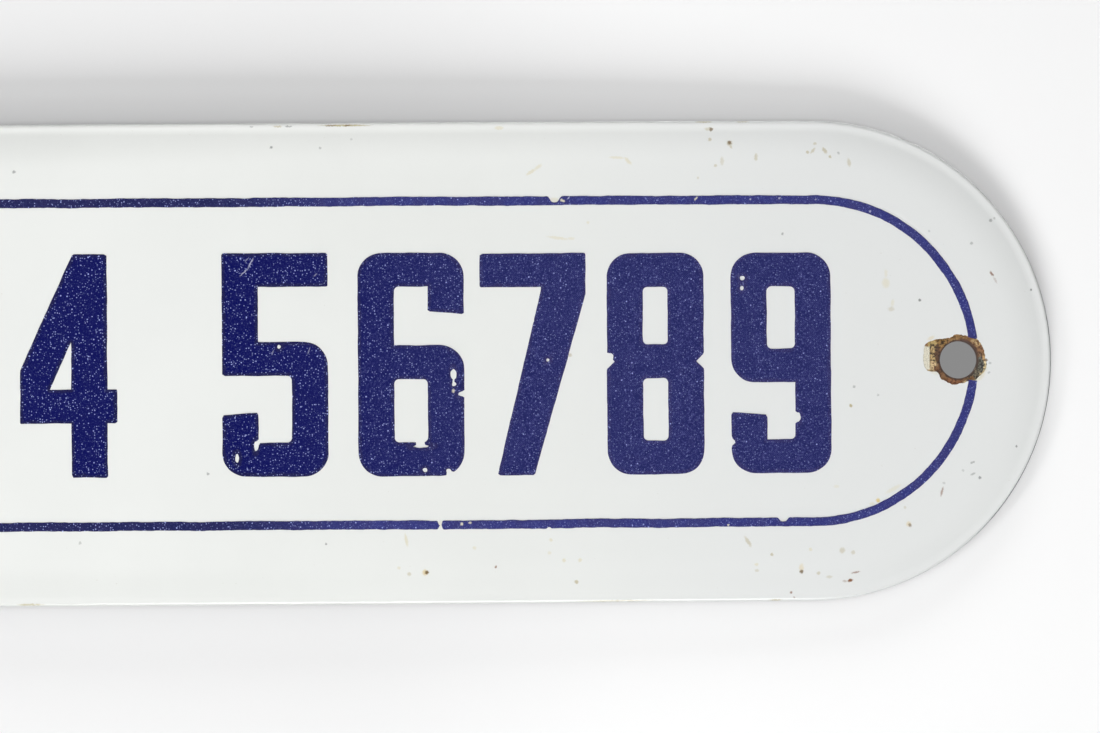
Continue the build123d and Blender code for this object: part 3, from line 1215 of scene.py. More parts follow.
    def add_rim(self, surface: Surface) -> None:
        """Adds the rim: its profile carried round the stadium's perimeter, all at once.

        The ground coat covers the back and turns over the edge. It also shows as a hair line on the edge
        of the right tip, where the white is rubbed off; that dark hair line is also painted contact shadow.

        Args:
            surface: Where the grid goes.
        """
        b = self.blank
        arc = self.zone_edge(self.rays(), 0.0)[: self.rays_on_arc]
        turn = np.concatenate([np.arctan2(arc[:, 1], arc[:, 0] - b.half_straight), [math.pi / 2]])
        columns = np.linspace(b.half_straight, -b.half_straight, self.middle_columns)[1:-1]
        angle = np.concatenate([
            turn, np.full(len(columns), math.pi / 2),
            math.pi - turn[::-1], np.full(len(columns), -math.pi / 2),
        ])
        spine = np.concatenate([
            np.full(len(turn), b.half_straight), columns,
            np.full(len(turn), -b.half_straight), columns[::-1],
        ])
        radius, depth = b.rim_profile(self.rim_steps)
        grid = polar(spine, radius[:, None], angle, depth[:, None])
        turn_over = 2 * self.rim_steps - 1 + int(1.5 * self.rim_steps)
        past_edge = np.arange(len(radius) - 1)[:, None] >= turn_over
        degrees = np.degrees(angle)
        # Dark hair line on the right tip's edge: bare ground coat, and painted contact shadow.
        bare = self.bare_and_shadow_edge * smooth_step(degrees, -62.0, -36.0) * smooth_step(degrees, 24.0, 6.0)
        wear_and_painted_light = (radius[:-1] + radius[1:])[:, None] / 2 > b.end_radius - bare
        finish = np.where(past_edge | wear_and_painted_light, Coat.GROUND.value, Coat.WHITE.value)
        surface.add_grid(grid, finish.ravel(), True)

    def build(self, coats: list[Material]) -> bpy.types.Object:
        """Makes the plate, which stands for the plain CAD plate.

        Args:
            coats: The materials in the order of Coat.

        Returns:
            The plate's object.
        """
        surface = Surface(self.blank)
        self.add_back_and_wall(surface, self.add_right_face(surface), 1, Coat.BROKEN)
        self.add_back_and_wall(surface, self.add_left_face(surface), -1, Coat.GROUND)
        self.add_middle(surface)
        self.add_rim(surface)
        plate = surface.build("enamelled_plate_skin", coats, 35.0)
        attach(plate, "root")
        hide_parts("enamelled_plate")
        return plate


@dataclass(frozen=True)
class PrintRelief:
    """Raised screened enamel: how thick it is and how its edge rounds over."""

    thickness: float = 0.12
    shoulder: float = 0.16
    edge_band: float = 0.8
    pitch: float = 0.25
    sunk: float = 0.02
    rounding: tuple[tuple[float, float], ...] = ((0.4, 0.97), (0.75, 0.84), (0.95, 0.6), (1.0, 0.3))
    passes: int = 4
    probe: float = 0.01

    def gradient(self, shape: Field, points: Array) -> tuple[Array, Array]:
        """Value of a distance field and its direction of growth, by central differences.

        Args:
            shape: The field.
            points: Rows of along and up.

        Returns:
            The value and the unit direction at each point.
        """
        step, (s, w) = self.probe, points.T
        slope = np.stack([shape(s + step, w) - shape(s - step, w), shape(s, w + step) - shape(s, w - step)], axis=1)
        slope /= np.maximum(np.linalg.norm(slope, axis=1, keepdims=True), 1e-9)
        return shape(s, w), slope

    def footprint(self, shape: Field, box: tuple[float, float, float, float]) -> tuple[Array, Array, Array]:
        """Fills a shape, up to where its shoulder starts, with a square grid of quads.

        Squares that touch only at a corner are joined: the two squares beside them are filled in. The
        grid's stepped border is moved onto the contour along the field's slope.

        Args:
            shape: Distance to the shape's outline at (along, up), below 0 inside.
            box: Lowest along, highest along, lowest up and highest up to search.

        Returns:
            The points as rows of along and up, the quads, and the border's edges as pairs of points.
        """
        pitch = self.pitch
        s = np.arange(box[0] - pitch, box[1] + 2 * pitch, pitch)
        w = np.arange(box[2] - pitch, box[3] + 2 * pitch, pitch)
        inside = shape(*np.meshgrid(s[:-1] + pitch / 2, w[:-1] + pitch / 2, indexing="ij")) < -self.shoulder
        inside[0, :] = inside[-1, :] = inside[:, 0] = inside[:, -1] = False
        for _ in range(self.passes):
            a, b, c, d = inside[:-1, :-1], inside[1:, :-1], inside[:-1, 1:], inside[1:, 1:]
            touch = (a & d & ~b & ~c) | (b & c & ~a & ~d)
            for view in (a, b, c, d):
                view |= touch
        index = np.arange(len(s) * len(w)).reshape(len(s), len(w))
        quads = np.stack([index[:-1, :-1], index[1:, :-1], index[1:, 1:], index[:-1, 1:]], axis=-1)
        padded = np.pad(inside, 1)
        sides = (
            (padded[1:-1, :-2], 0, 1), (padded[2:, 1:-1], 1, 2),
            (padded[1:-1, 2:], 2, 3), (padded[:-2, 1:-1], 3, 0),
        )
        edges = np.concatenate([quads[inside & ~neighbour][:, [i, j]] for neighbour, i, j in sides])
        quads = quads[inside]
        used = np.unique(quads)
        lookup = np.full(index.size, -1)
        lookup[used] = np.arange(len(used))
        flat = np.stack([grid.ravel() for grid in np.meshgrid(s, w, indexing="ij")], axis=1)[used]
        border = np.unique(lookup[edges])
        for _ in range(self.passes):
            value, slope = self.gradient(shape, flat[border])
            flat[border] -= np.clip(value + self.shoulder, -pitch, pitch)[:, None] * slope
        return flat, lookup[quads], lookup[edges]

    def add(self, surface: Surface, shape: Field, box: tuple[float, float, float, float]) -> None:
        """Adds the solid print of a shape.

        From the footprint's border, rings go out and down over the rounded shoulder to a floor just
        under the face, which closes the solid. The tint is 1 well inside the shape and 0 at its edge.

        Args:
            surface: Where the mesh goes.
            shape: Distance to the shape's outline at (along, up), below 0 inside.
            box: Lowest along, highest along, lowest up and highest up to search.
        """
        flat, quads, edges = self.footprint(shape, box)
        border = np.unique(edges)
        _, slope = self.gradient(shape, flat[border])
        drops = [(self.shoulder * out, self.thickness * up) for out, up in self.rounding]
        levels = [(flat, self.thickness), *((flat[border] + slope * out, up) for out, up in drops)]
        levels += [(flat[border] + slope * self.shoulder, -self.sunk), (flat, -self.sunk)]
        points = np.concatenate([np.column_stack([level, np.full(len(level), up)]) for level, up in levels])
        on_border = np.full(len(flat), -1)
        on_border[border] = np.arange(len(border))
        rings = len(levels) - 2
        under = len(flat) + rings * len(border)
        walls = [edges, *(len(flat) + k * len(border) + on_border[edges] for k in range(rings)), under + edges]
        strips = [np.column_stack([a[:, 0], b[:, 0], b[:, 1], a[:, 1]]) for a, b in zip(walls, walls[1:])]
        inner = smooth_step(-shape(*flat.T), self.shoulder, self.edge_band)
        tint = np.concatenate([inner, np.zeros(rings * len(border)), inner])
        faces = np.concatenate([quads, *strips, under + quads[:, ::-1]])
        surface.add(points, faces, tint=np.repeat(tint[:, None], 3, axis=1))


def rounded_box(x: Array, y: Array, left: float, right: float, low: float, high: float, radius: float) -> Array:
    """Distance to a box with rounded corners: that to a box smaller by the radius, less the radius.

    Args:
        x: First coordinate of the points.
        y: Second coordinate of the points.
        left: Least x of the box.
        right: Greatest x of the box.
        low: Least y of the box.
        high: Greatest y of the box.
        radius: Radius of its corners.

    Returns:
        The distance, below 0 inside.
    """
    qx = np.abs(x - (left + right) / 2) - (right - left) / 2 + radius
    qy = np.abs(y - (low + high) / 2) - (high - low) / 2 + radius
    outside = np.hypot(np.maximum(qx, 0), np.maximum(qy, 0))
    return outside + np.minimum(np.maximum(qx, qy), 0) - radius


def polygon(x: Array, y: Array, corners: list[tuple[float, float]]) -> Array:
    """Distance to a polygon: that to the nearest side, signed by how often a ray crosses the sides.

    Args:
        x: First coordinate of the points.
        y: Second coordinate of the points.
        corners: The polygon's corners in order.

    Returns:
        The distance, below 0 inside.
    """
    nearest = np.full(np.shape(x), np.inf)
    inside = np.zeros(np.shape(x), dtype=bool)
    for (x0, y0), (x1, y1) in zip(corners, corners[1:] + corners[:1]):
        ex, ey = x1 - x0, y1 - y0
        t = np.clip(((x - x0) * ex + (y - y0) * ey) / (ex * ex + ey * ey), 0, 1)
        nearest = np.minimum(nearest, np.hypot(x - x0 - t * ex, y - y0 - t * ey))
        if ey != 0:
            inside ^= ((y0 > y) != (y1 > y)) & (x < ex * (y - y0) / ey + x0)
    return np.where(inside, -nearest, nearest)


@dataclass(frozen=True)
class NumeralShape:
    """Condensed block numerals, as distances that are below 0 in the stroke.

    They are drawn at points x and y, in millimetres from the numeral's middle. Each is made of boxes and
    polygons, which are joined by the least of their distances and cut by the greatest.
    """

    x: Array
    y: Array
    width: float
    height: float
    stem: float = 6.0
    bar: float = 5.6
    outer: float = 4.0
    inner: float = 0.8
    crisp: float = 0.2
    terminal: float = 4.6
    middle: float = 0.4
    notch_depth: float = 0.9
    beyond: float = 5.0

    @property
    def halves(self) -> tuple[float, float, float]:
        """Half the width, half the height, and half the counter's width."""
        return self.width / 2, self.height / 2, self.width / 2 - self.stem

    def drawn(self, digit: int) -> Array:
        """Draws a digit from 0 to 9."""
        low, high = (self.zero, self.one, self.two, self.three, self.four), (self.five, self.six, self.seven)
        return (*low, *high, self.eight, self.nine)[digit]()

    def box(self, left: float, right: float, low: float, high: float, radius: float) -> Array:
        """A box with rounded corners."""
        return rounded_box(self.x, self.y, left, right, low, high, radius)

    def body(self, high: float | None = None) -> Array:
        """The rounded block that a numeral is cut from, up to its top or to a lower height."""
        w, h, _ = self.halves
        return self.box(-w, w, -h, h if high is None else high, self.outer)

    def cut(self, made: Array, left: float, right: float, low: float, high: float) -> Array:
        """Takes a counter or an opening out of a shape."""
        return np.maximum(made, -self.box(left, right, low, high, self.inner))

    def notched(self, made: Array, side: float) -> Array:
        """Takes a shallow notch out of one side of the waist: a square on its corner."""
        square = (np.abs(self.x - side) + np.abs(self.y - self.middle)) / math.sqrt(2)
        return np.maximum(made, -(square - self.notch_depth))

    def zero(self) -> Array:
        """A block with one long counter."""
        _, h, c = self.halves
        return self.cut(self.body(), -c, c, -h + self.bar, h - self.bar)

    def one(self) -> Array:
        """A stem with a slanted flag.

        Returns:
            The distance.
        """
        w, h, _ = self.halves
        left = w - self.stem
        corners = [(left + 1, h), (left, h), (-w, h - 5.2), (-w, h - 10.4), (left + 1, h - 7.0)]
        return np.minimum(self.box(left, w, -h, h, self.crisp), polygon(self.x, self.y, corners))

    def two(self) -> Array:
        """An arch, a diagonal from its right foot to the lower left, and a bar.

        Returns:
            The distance.
        """
        w, h, c = self.halves
        foot, top = -h + self.bar, h - self.bar
        arch = self.cut(np.maximum(self.body(), 3.0 - self.y), -c, c, -h - self.beyond, top)
        arch = self.cut(arch, -w - self.beyond, -c + 0.8, -h, top - self.terminal)
        diagonal = polygon(self.x, self.y, [
            (c, 3.4), (w, 3.4), (w, 0.8), (-c + 0.6, foot - 0.4), (-w, foot - 0.4), (-w, foot + 1.6),
        ])
        return np.minimum.reduce([arch, diagonal, self.box(-w, w, -h, foot, self.crisp)])

    def three(self) -> Array:
        """Two bowls open to the left, with a short middle bar.

        Returns:
            The distance.
        """
        w, h, c = self.halves
        foot, top, t = -h + self.bar, h - self.bar, self.terminal
        made = self.cut(self.two_bowls(), -w - self.beyond, -1.6, foot + t, top - t)
        return self.cut(made, -c, -1.6, foot, top)

    def two_bowls(self) -> Array:
        """A block with two counters and a notch in the right of its waist.

        Returns:
            The distance.
        """
        w, h, c = self.halves
        made = self.cut(self.body(), -c, c, self.middle + self.bar / 2, h - self.bar)
        made = self.cut(made, -c, c, -h + self.bar, self.middle - self.bar / 2)
        return self.notched(made, w)

    def four(self) -> Array:
        """A stem, a diagonal and a low bar round a three-cornered counter.

        Returns:
            The distance.
        """
        w, h, _ = self.halves
        low = -h + 9.0
        high, right = low + self.bar, w - 1.6
        left = right - self.stem
        outside = polygon(self.x, self.y, [
            (right, h), (left + 0.3, h), (-w, high + 3.2), (-w, low), (left, low), (left, -h),
            (right, -h), (right, low), (w, low), (w, high), (right, high),
        ])
        run, rise = left + 0.3 + w, h - high - 3.2
        shift = 5.8 * math.hypot(run, rise) / rise
        foot = -w - 3.2 * run / rise + shift
        counter = polygon(self.x, self.y, [(left, high), (left, high + (left - foot) * rise / run), (foot, high)])
        return np.maximum(outside, -counter)

    def five(self) -> Array:
        """A bar, a stem at the upper left and a bowl open to the left, whose end is cut at a slant.

        Returns:
            The distance.
        """
        w, h, c = self.halves
        top, end = self.middle + self.bar / 2 + 0.6, -h + self.bar + self.terminal
        slant = np.maximum(self.x + c, self.y - end - 0.08 * (self.x + w))
        return np.minimum.reduce([
            self.cut(self.body(top), -w - self.beyond, c, -h + self.bar, top - self.bar),
            self.box(-w, -c, top - self.bar, h, self.crisp),
            self.box(-w, w, h - self.bar, h, self.crisp),
            np.maximum(self.body(top + 8), slant),
        ])

    def six(self) -> Array:
        """A bowl under a stem and an arm that turns down at the upper right, with its end cut at a slant.

        Returns:
            The distance.
        """
        w, h, c = self.halves
        top, end = self.middle + self.bar / 2, h - self.bar - self.terminal
        slant = np.maximum(c - self.x, end + 0.08 * (w - self.x) - self.y)
        return np.minimum.reduce([
            self.cut(self.body(top), -c, c, -h + self.bar, top - self.bar),
            self.cut(self.body(), -c, w + self.beyond, -h - self.beyond, h - self.bar),
            np.maximum(self.body(), slant),
        ])

    def seven(self) -> Array:
        """A bar and a leg that slants to the lower left.

        Returns:
            The distance.
        """
        w, h, _ = self.halves
        foot, left = h - self.bar, w - self.stem - 1.4
        leg = polygon(self.x, self.y, [
            (w, h - 0.2), (w, foot - 1.2), (0.2, -h), (-6.0, -h), (left, foot - 0.6), (left, h - 0.2),
        ])
        return np.minimum(self.box(-w, w, foot, h, 0.3), leg)

    def eight(self) -> Array:
        """Two closed bowls with a notch on both sides of the waist."""
        return self.notched(self.two_bowls(), -self.halves[0])

    def nine(self) -> Array:
        """A six turned half round."""
        return replace(self, x=-self.x, y=-self.y).six()


@dataclass(frozen=True)
class Numeral:
    """One printed numeral, by the pixels that it fills in the camera's frame."""

    digit: int
    left: float
    right: float
    top: float
    bottom: float


@dataclass(frozen=True)
class PrintChip:
    """A chip in the print, as an ellipse in the camera's pixels."""

    px: float
    py: float
    half_width: float
    half_height: float


@dataclass(frozen=True)
class Numerals:
    """The ten printed numerals, in two groups of five, and the chips in them."""

    blank: Blank
    view: Viewpoint
    relief: PrintRelief
    line: tuple[Numeral, ...] = tuple(Numeral(digit, *row) for digit, row in enumerate((
        (-484, -378, 255.0, 479.0), (-344, -280, 255.0, 479.0), (-244, -142, 255.0, 478.5),
        (-108, -8, 254.5, 478.5), (20, 117, 254.4, 477.9), (222, 328, 253.1, 476.7), (358, 464, 252.8, 476.2),
        (480, 586, 253.2, 475.2), (607, 704, 253.0, 474.3), (731, 831, 252.7, 473.0),
    )))
    chips: tuple[PrintChip, ...] = tuple(PrintChip(*row) for row in (
        (453.5, 374, 2.8, 4.8), (454, 384, 2.2, 2.0), (461.5, 394, 3.0, 2.2), (421, 446, 6.0, 1.8),
        (425, 470, 2.2, 2.2), (449, 471, 2.4, 2.2), (797.5, 417, 3.2, 4.2), (732.5, 442, 2.4, 3.2),
        (742, 278, 2.4, 2.2), (742, 288, 2.0, 2.0), (256.5, 446, 2.2, 4.0), (237, 458, 1.8, 3.6),
        (532, 321, 1.9, 1.9), (542, 463, 2.0, 2.2), (548, 360, 1.8, 1.8), (611, 356, 2.2, 2.6),
        (279, 347, 1.8, 2.0),
    ))
    room: float = 0.5

    def holes(self, left: float, right: float) -> list[tuple[float, float, float, float]]:
        """Finds the chips in a numeral.

        Args:
            left: Where the numeral starts along the blank.
            right: Where it stops.

        Returns:
            Each chip's place along and up and its half sizes, in millimetres.
        """
        places = [(*self.view.on_face(self.blank, chip.px, chip.py), chip) for chip in self.chips]
        return [
            (along, up, chip.half_width * PIXEL, chip.half_height * PIXEL)
            for along, up, chip in places if left - 1 < along < right + 1
        ]

    def shape(self, numeral: Numeral) -> tuple[Field, tuple[float, float, float, float]]:
        """Outline of a numeral on the blank, a little uneven, with its chips taken out.

        Args:
            numeral: Which numeral, and where.

        Returns:
            The distance field and the box that holds it.
        """
        level, across = (numeral.top + numeral.bottom) / 2, (numeral.left + numeral.right) / 2
        left, right = (self.view.on_face(self.blank, px, level)[0] for px in (numeral.left, numeral.right))
        top, bottom = (self.view.on_face(self.blank, across, py)[1] for py in (numeral.top, numeral.bottom))
        middle_s, middle_w = (left + right) / 2, (top + bottom) / 2
        holes = self.holes(left, right)

        def distance(s: Array, w: Array) -> Array:
            """Distance to the chipped numeral's outline: the greatest of it and of each chip turned inside out.

            Args:
                s: Places along the blank.
                w: Places up the blank.

            Returns:
                The distance, below 0 in the print.
            """
            made = NumeralShape(s - middle_s, w - middle_w, right - left, top - bottom).drawn(numeral.digit)
            made = made + rough(s, w, (0.05, 2.6, 31), (0.025, 0.9, 32))
            for hole_s, hole_w, half_s, half_w in holes:
                ellipse = (np.hypot((s - hole_s) / half_s, (w - hole_w) / half_w) - 1) * min(half_s, half_w)
                made = np.maximum(made, -(ellipse + rough(s, w, (0.08, 0.5, 33))))
            return made

        return distance, (left - self.room, right + self.room, bottom - self.room, top + self.room)

    def build(self, enamel: Material) -> list[bpy.types.Object]:
        """Makes each numeral as one solid of print that rides on the plate.

        Args:
            enamel: The print's material.

        Returns:
            The numerals, from left to right.
        """
        made = []
        for place, numeral in enumerate(self.line):
            surface = Surface(self.blank)
            self.relief.add(surface, *self.shape(numeral))
            piece = surface.build(f"numeral_{place}", [enamel], 50.0)
            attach(piece, "root")
            made.append(piece)
        return made


@dataclass(frozen=True)
class EdgeChip:
    """A notch in one side of the border line: its place in the camera's pixels, and its size in millimetres."""

    px: float
    py: float
    outer: bool
    half_length: float
    depth: float


@dataclass(frozen=True)
class Border:
    """The raised border line, a profile carried along the stadium, broken at the two screw holes."""

    blank: Blank
    view: Viewpoint
    relief: PrintRelief
    margin: float = 13.2
    width: float = 1.48
    pitch: float = 0.22
    upper_end: float = 3.6
    lower_end: float = 3.3
    upper_seed: int = 41
    lower_seed: int = 67
    left_gap: float = 3.75
    kink_mm: float = 7.0
    kink: float = 0.07
    rise: tuple[tuple[float, float], ...] = (
        (0.0, 0.3), (0.05, 0.6), (0.25, 0.84), (0.6, 0.97), (1.0, 1.0), (2.2, 1.0),
    )
    chips: tuple[EdgeChip, ...] = (
        EdgeChip(554.5, 200, True, 0.85, 1.0), EdgeChip(440, 524, False, 0.34, 0.8),
        EdgeChip(440.6, 524, True, 0.30, 0.8), EdgeChip(783.5, 523, False, 0.75, 0.7),
        EdgeChip(549, 526, True, 0.30, 0.25),
    )

    @property
    def reach(self) -> float:
        """Distance of the line's middle from the spine."""
        return self.blank.end_radius - self.margin

    def path(self, length: Array, start: float, stop: float) -> tuple[Array, Array]:
        """Spine point and direction at each length along the upper half of the line: arc, straight, arc.

        Args:
            length: Lengths from the line's end at the right hole.
            start: Angle of that end about the right end's centre.
            stop: Angle of the other end about the left end's centre, measured the same way from the left.

        Returns:
            Place of the spine point along the blank, and the angle from it to the line.
        """
        reach, half = self.reach, self.blank.half_straight
        first = reach * (math.pi / 2 - start)
        knots = [0.0, first, first + 2 * half, first + 2 * half + reach * (math.pi / 2 - stop)]
        spine = np.interp(length, knots, [half, half, -half, -half])
        angle = np.interp(length, knots, [start, math.pi / 2, math.pi / 2, math.pi - stop])
        return spine, angle

    def wander(self, length: Array, start: float, side: int, seed: int) -> tuple[Array, Array]:
        """Where the line's two edges run: kinks and a little noise, with notches where the print is chipped.

        Args:
            length: Lengths from the line's end at the right hole.
            start: Angle of that end about the right end's centre.
            side: 1 above the holes, -1 below.
            seed: Picks the wander.

        Returns:
            The inner and the outer edge, as distances out from the line's middle.
        """
        knots = np.arange(0, length[-1] + self.kink_mm, self.kink_mm)
        kinks = np.random.default_rng(seed).uniform(-self.kink, self.kink, len(knots))
        kinks, zero = np.interp(length, knots, kinks), np.zeros_like(length)
        edges = tuple(
            kinks + edge * self.width / 2 + rough(length, zero, (0.05, 1.9, seed + k), (0.03, 0.6, seed + 7 + k))
            for k, edge in enumerate((-1, 1))
        )
        for chip in self.chips:
            s, w = self.view.on_face(self.blank, chip.px, chip.py)
            if w * side > 0 and abs(s) <= self.blank.half_straight:
                where = self.reach * (math.pi / 2 - start) + self.blank.half_straight - s
                dip = chip.depth * np.exp(-(((length - where) / chip.half_length) ** 4))
                edges[int(chip.outer)][:] += -dip if chip.outer else dip
        return edges

    def add_half(self, surface: Surface, side: int, right_end: float, seed: int) -> None:
        """Adds the line's half above or below the holes.

        Across the line, the top is flat and rounds over at both sides to a floor just under the face.
        Where notches meet, the line dives under the face and is broken. At the right hole it ends ragged.

        Args:
            surface: Where the mesh goes.
            side: 1 above the holes, -1 below.
            right_end: Height above or below the right hole where the line is broken off.
            seed: Picks the wander.
        """
        start, stop = math.asin(right_end / self.reach), math.asin(self.left_gap / self.reach)
        total = self.reach * (math.pi - start - stop) + 2 * self.blank.half_straight
        length = np.linspace(0.0, total, int(total / self.pitch))
        spine, angle = self.path(length, start, stop)
        below, above = self.wander(length, start, side, seed)
        roll, sunk = self.relief.shoulder, self.relief.sunk
        inset = np.array([0.0, *(out * roll for out, _ in self.rise)])[:, None]
        level = np.array([-sunk, *(up * self.relief.thickness for _, up in self.rise)])[:, None]
        wide = above - below
        narrowing = np.clip(wide / (5.0 * roll), 0.02, 1.0)
        across = np.concatenate([below + inset * narrowing, above - inset[::-1] * narrowing])
        kept = smooth_step(wide, 0.05, 0.3)
        height = np.concatenate([level, level[::-1]]) * kept - sunk * (1 - kept)
        slide = np.exp(-length / 0.8) * rough(across, 0 * across, (0.25, 0.5, seed + 20))
        radius = self.reach + across
        s = spine + radius * np.cos(angle) + slide * np.sin(angle)
        w = radius * np.sin(angle) - slide * np.cos(angle)
        grid = np.stack([s, side * w, height], axis=-1)
        inner = np.where(inset > 2 * roll, 0.6, 0.2)
        tint = np.broadcast_to(np.concatenate([inner, inner[::-1]])[..., None], grid.shape)
        surface.add_grid(grid, tint=tint)
        surface.add_grid(np.stack([grid[-1], grid[0]]), tint=tint[:2])
        count = len(inset)
        for end in (0, -1):
            surface.add_grid(np.stack([grid[:count, end], grid[::-1][:count, end]]), tint=tint[:2, :count])

    def build(self, enamel: Material) -> bpy.types.Object:
        """Makes the border line, which stands for the plain CAD one.

        Args:
            enamel: The print's material.

        Returns:
            The line's object.
        """
        surface = Surface(self.blank)
        self.add_half(surface, 1, self.upper_end, self.upper_seed)
        self.add_half(surface, -1, self.lower_end, self.lower_seed)
        border = surface.build("printed_border_line", [enamel], 50.0)
        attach(border, "root")
        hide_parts("printed_border")
        return border


@dataclass(frozen=True)
class Lamp:
    """A square soft box, one metre from the middle of the view and aimed at it.

    The slant is its angle from the wall's outward direction, and the clock angle goes from the right
    upwards, both in degrees. A lamp without glints isn't mirrored by the enamel.
    """

    name: str
    slant: float
    clock: float
    size: float
    power: float
    glints: bool = True
    middle: tuple[float, float, float] = (0.05, 0.0, 0.0)

    def build(self) -> None:
        """Makes the lamp, unseen by the camera."""
        slant, clock = math.radians(self.slant), math.radians(self.clock)
        away = Vector((math.sin(slant) * math.cos(clock), -math.cos(slant), math.sin(slant) * math.sin(clock)))
        data = bpy.data.lights.new(self.name, "AREA")
        data.shape, data.size, data.energy = "SQUARE", self.size, self.power
        lamp = bpy.data.objects.new(self.name, data)
        lamp.location = Vector(self.middle) + away
        lamp.rotation_mode, lamp.rotation_quaternion = "QUATERNION", (-away).to_track_quat("-Z", "Y")
        lamp.visible_camera = False
        lamp.visible_glossy = self.glints
        data.cycles.use_multiple_importance_sampling = self.glints
        bpy.context.scene.collection.objects.link(lamp)


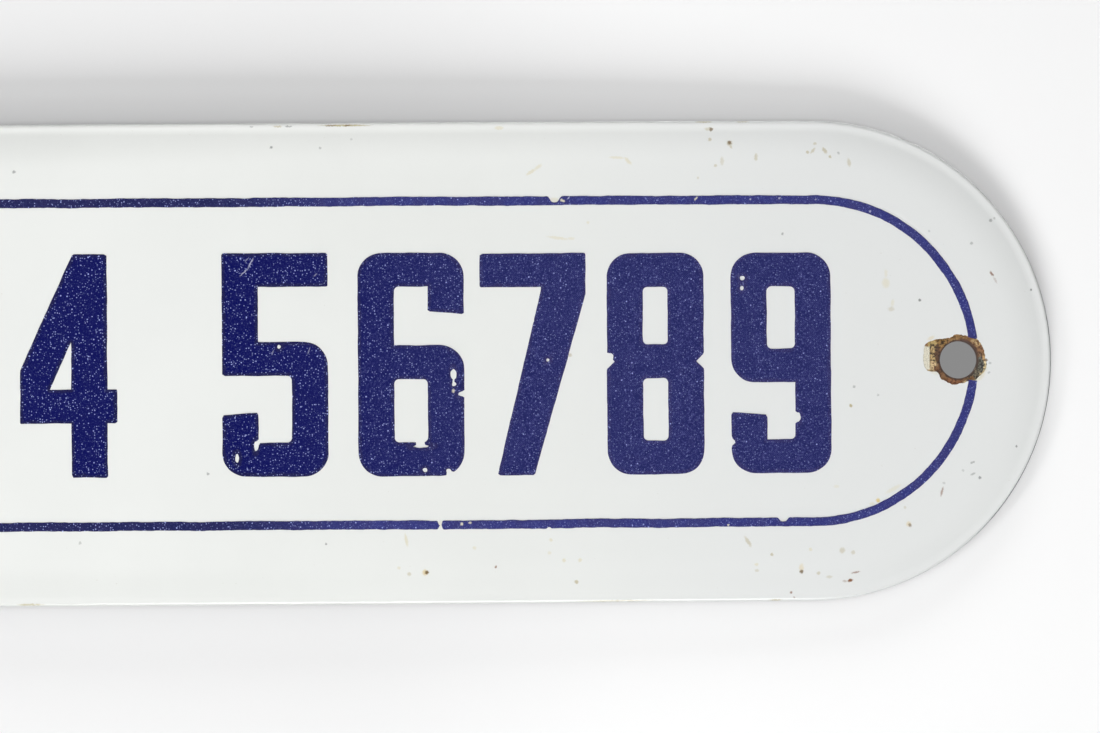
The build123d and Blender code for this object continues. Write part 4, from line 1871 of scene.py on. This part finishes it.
@dataclass(frozen=True)
class Studio:
    """The pale wall that the plaque hangs on, the floor below, soft lamps and a white surround."""

    wall_y: float
    hole_x: float
    wall_half: float = 2.0
    wall_top: float = 1.6
    floor_z: float = -1.3
    # Radii in metres inside which the painted shadow behind each screw hole is full, and beyond which it is gone.
    painted_shadow_from: float = 0.009
    painted_shadow_to: float = 0.012
    # The wall's tone at the left and at the right: painted light makes it paler to the right.
    pale: Tone = (241, 241, 241)
    paler: Tone = (250, 250, 250)
    painted_hole_shadow: Tone = (139, 139, 139)
    roughness: float = 0.9
    gloss: float = 0.1
    lamps: tuple[Lamp, ...] = (
        Lamp("front_box", 0.0, 0.0, 0.30, 3.45, False),
        Lamp("front_left_box", 20.0, 180.0, 0.45, 0.67),
        Lamp("front_high_box", 20.0, 90.0, 0.45, 0.69),
        Lamp("high_box", 66.0, 90.0, 0.45, 2.8),
        Lamp("low_box", 58.0, 270.0, 0.45, 6.7),
        Lamp("left_box", 40.0, 200.0, 0.18, 0.70),
        Lamp("low_left_box", 50.0, 210.0, 0.18, 0.90),
        Lamp("back_box", 150.0, 60.0, 0.60, 2.0),
    )

    def pane(self, name: str, corners: list[tuple[float, ...]], material: Material) -> bpy.types.Object:
        """Makes one flat quad of the stage.

        Args:
            name: Name of the object.
            corners: Its four corners in metres.
            material: Its material.

        Returns:
            The pane's object.
        """
        mesh = bpy.data.meshes.new(name)
        mesh.from_pydata(corners, [], [(0, 1, 2, 3)])
        mesh.materials.append(material)
        pane = bpy.data.objects.new(name, mesh)
        bpy.context.scene.collection.objects.link(pane)
        return pane

    def wall_colour(self, nodes: Nodes) -> Socket:
        """Pale paint, whiter to the right by painted light, with a painted shadow behind each screw hole.

        That painted shadow is an even grey that comes as emission, so that it is the same grey in any light.

        Args:
            nodes: The material's nodes.

        Returns:
            The base colour's socket.
        """
        # Painted light: the wall turns from pale to paler towards the right.
        colour = nodes.mix(nodes.ramp(nodes.axis("X"), 0.02, 0.085), shade(*self.pale), shade(*self.paler))
        # Painted shadow behind each screw hole: a flat grey that glows by emission.
        aside = nodes.maths("SUBTRACT", nodes.maths("ABSOLUTE", nodes.axis("X")), self.hole_x)
        above = nodes.axis("Z")
        squared = nodes.maths("ADD", nodes.maths("MULTIPLY", aside, aside), nodes.maths("MULTIPLY", above, above))
        behind, black = nodes.ramp(squared, self.painted_shadow_to**2, self.painted_shadow_from**2), shade(0, 0, 0)
        grey = nodes.mix(behind, black, shade(*self.painted_hole_shadow))
        nodes.feed(nodes.shader, {"Emission Color": grey, "Emission Strength": 1.0})
        return nodes.mix(behind, colour, black)

    def wall_paint(self) -> Material:
        """Matt pale material for the wall, clear from its back.

        Returns:
            The material.
        """
        nodes = Nodes("wall_paint")
        choose = nodes.new("ShaderNodeMixShader")
        side = nodes.new("ShaderNodeNewGeometry").outputs["Backfacing"]
        clear = nodes.new("ShaderNodeBsdfTransparent").outputs[0]
        nodes.feed(nodes.shader, {"Specular IOR Level": self.gloss})
        nodes.feed(choose, {0: side, 1: nodes.shader.outputs[0], 2: clear})
        nodes.feed(nodes.output, {0: choose.outputs[0]})
        return nodes.finish(self.wall_colour(nodes), self.roughness)

    def floor_paint(self) -> Material:
        """Matt pale material for the floor, plain white to the camera.

        Returns:
            The material.
        """
        nodes = Nodes("floor_paint")
        seen = nodes.new("ShaderNodeLightPath").outputs["Is Camera Ray"]
        nodes.feed(nodes.shader, {"Emission Color": shade(255, 255, 255), "Emission Strength": seen})
        nodes.feed(nodes.shader, {"Specular IOR Level": self.gloss})
        return nodes.finish(shade(*self.paler), self.roughness)

    def surround(self) -> None:
        """Makes a world that is white where it is seen directly or in a reflection, and gives no light."""
        world = bpy.data.worlds.new("surround")
        bpy.context.scene.world = world
        world.use_nodes = True
        tree = world.node_tree
        tree.nodes.clear()
        path = tree.nodes.new("ShaderNodeLightPath")
        seen = path.outputs["Is Camera Ray"]
        for kind in ("Is Glossy Ray", "Is Transmission Ray"):
            most = tree.nodes.new("ShaderNodeMath")
            most.operation = "MAXIMUM"
            tree.links.new(seen, most.inputs[0])
            tree.links.new(path.outputs[kind], most.inputs[1])
            seen = most.outputs[0]
        choose = tree.nodes.new("ShaderNodeMixShader")
        output = tree.nodes.new("ShaderNodeOutputWorld")
        tree.links.new(seen, choose.inputs[0])
        for place, strength in ((1, 0.0), (2, 1.0)):
            white = tree.nodes.new("ShaderNodeBackground")
            white.inputs[0].default_value, white.inputs[1].default_value = (1, 1, 1, 1), strength
            tree.links.new(white.outputs[0], choose.inputs[place])
        tree.links.new(choose.outputs[0], output.inputs[0])

    def build(self) -> None:
        """Makes the wall, floor, lamps and surround."""
        h, y, z = self.wall_half, self.wall_y, self.floor_z
        upright = [(-h, y, z), (h, y, z), (h, y, self.wall_top), (-h, y, self.wall_top)]
        level = [(-h, y - 2 * h, z), (h, y - 2 * h, z), (h, y + h, z), (-h, y + h, z)]
        wall = self.pane("wall", upright, self.wall_paint())
        self.pane("floor", level, self.floor_paint())
        wall.visible_shadow = wall.visible_diffuse = wall.visible_glossy = False
        for lamp in self.lamps:
            lamp.build()
        self.surround()
        bpy.context.scene.view_settings.view_transform = "Standard"


def report(piece: bpy.types.Object) -> None:
    """Logs a piece's name and how many faces and points it has."""
    LOG.info("%s: %d faces, %d vertices", piece.name, len(piece.data.polygons), len(piece.data.vertices))


def main() -> None:
    """Builds the camera, the stage and the plaque in order."""
    logging.basicConfig(level=logging.INFO, format="%(name)s: %(message)s")
    blank, view, relief = Blank(), Viewpoint(), PrintRelief()
    view.build()
    hole_x = float(blank.place(np.array([[blank.hole_along, 0.0, 0.0]]))[0, 0])
    Studio(cad_box[1].y + WALL_GAP, hole_x * MILLIMETRE).build()
    wear = Weathering(blank, view)
    coats = [WhiteEnamel(wear).build(), GroundCoat().build(), BrokenEnamelSteel().build()]
    blue = BlueEnamel(wear).build()
    # The border's blue has the same painted reflection haze to the right, full sooner.
    line_blue = BlueEnamel(
        wear, "border_enamel", deep=(28, 32, 80), wear_and_painted_light=(50, 54, 119), deep_edge=(38, 38, 84),
        edge_wear_and_painted_light=(56, 56, 110), painted_light_to=0.035,
    ).build()
    report(Plate(blank, Crater()).build(coats))
    report(Border(blank, view, relief).build(line_blue))
    for numeral in Numerals(blank, view, relief).build(blue):
        report(numeral)


if __name__ == "__main__":
    main()
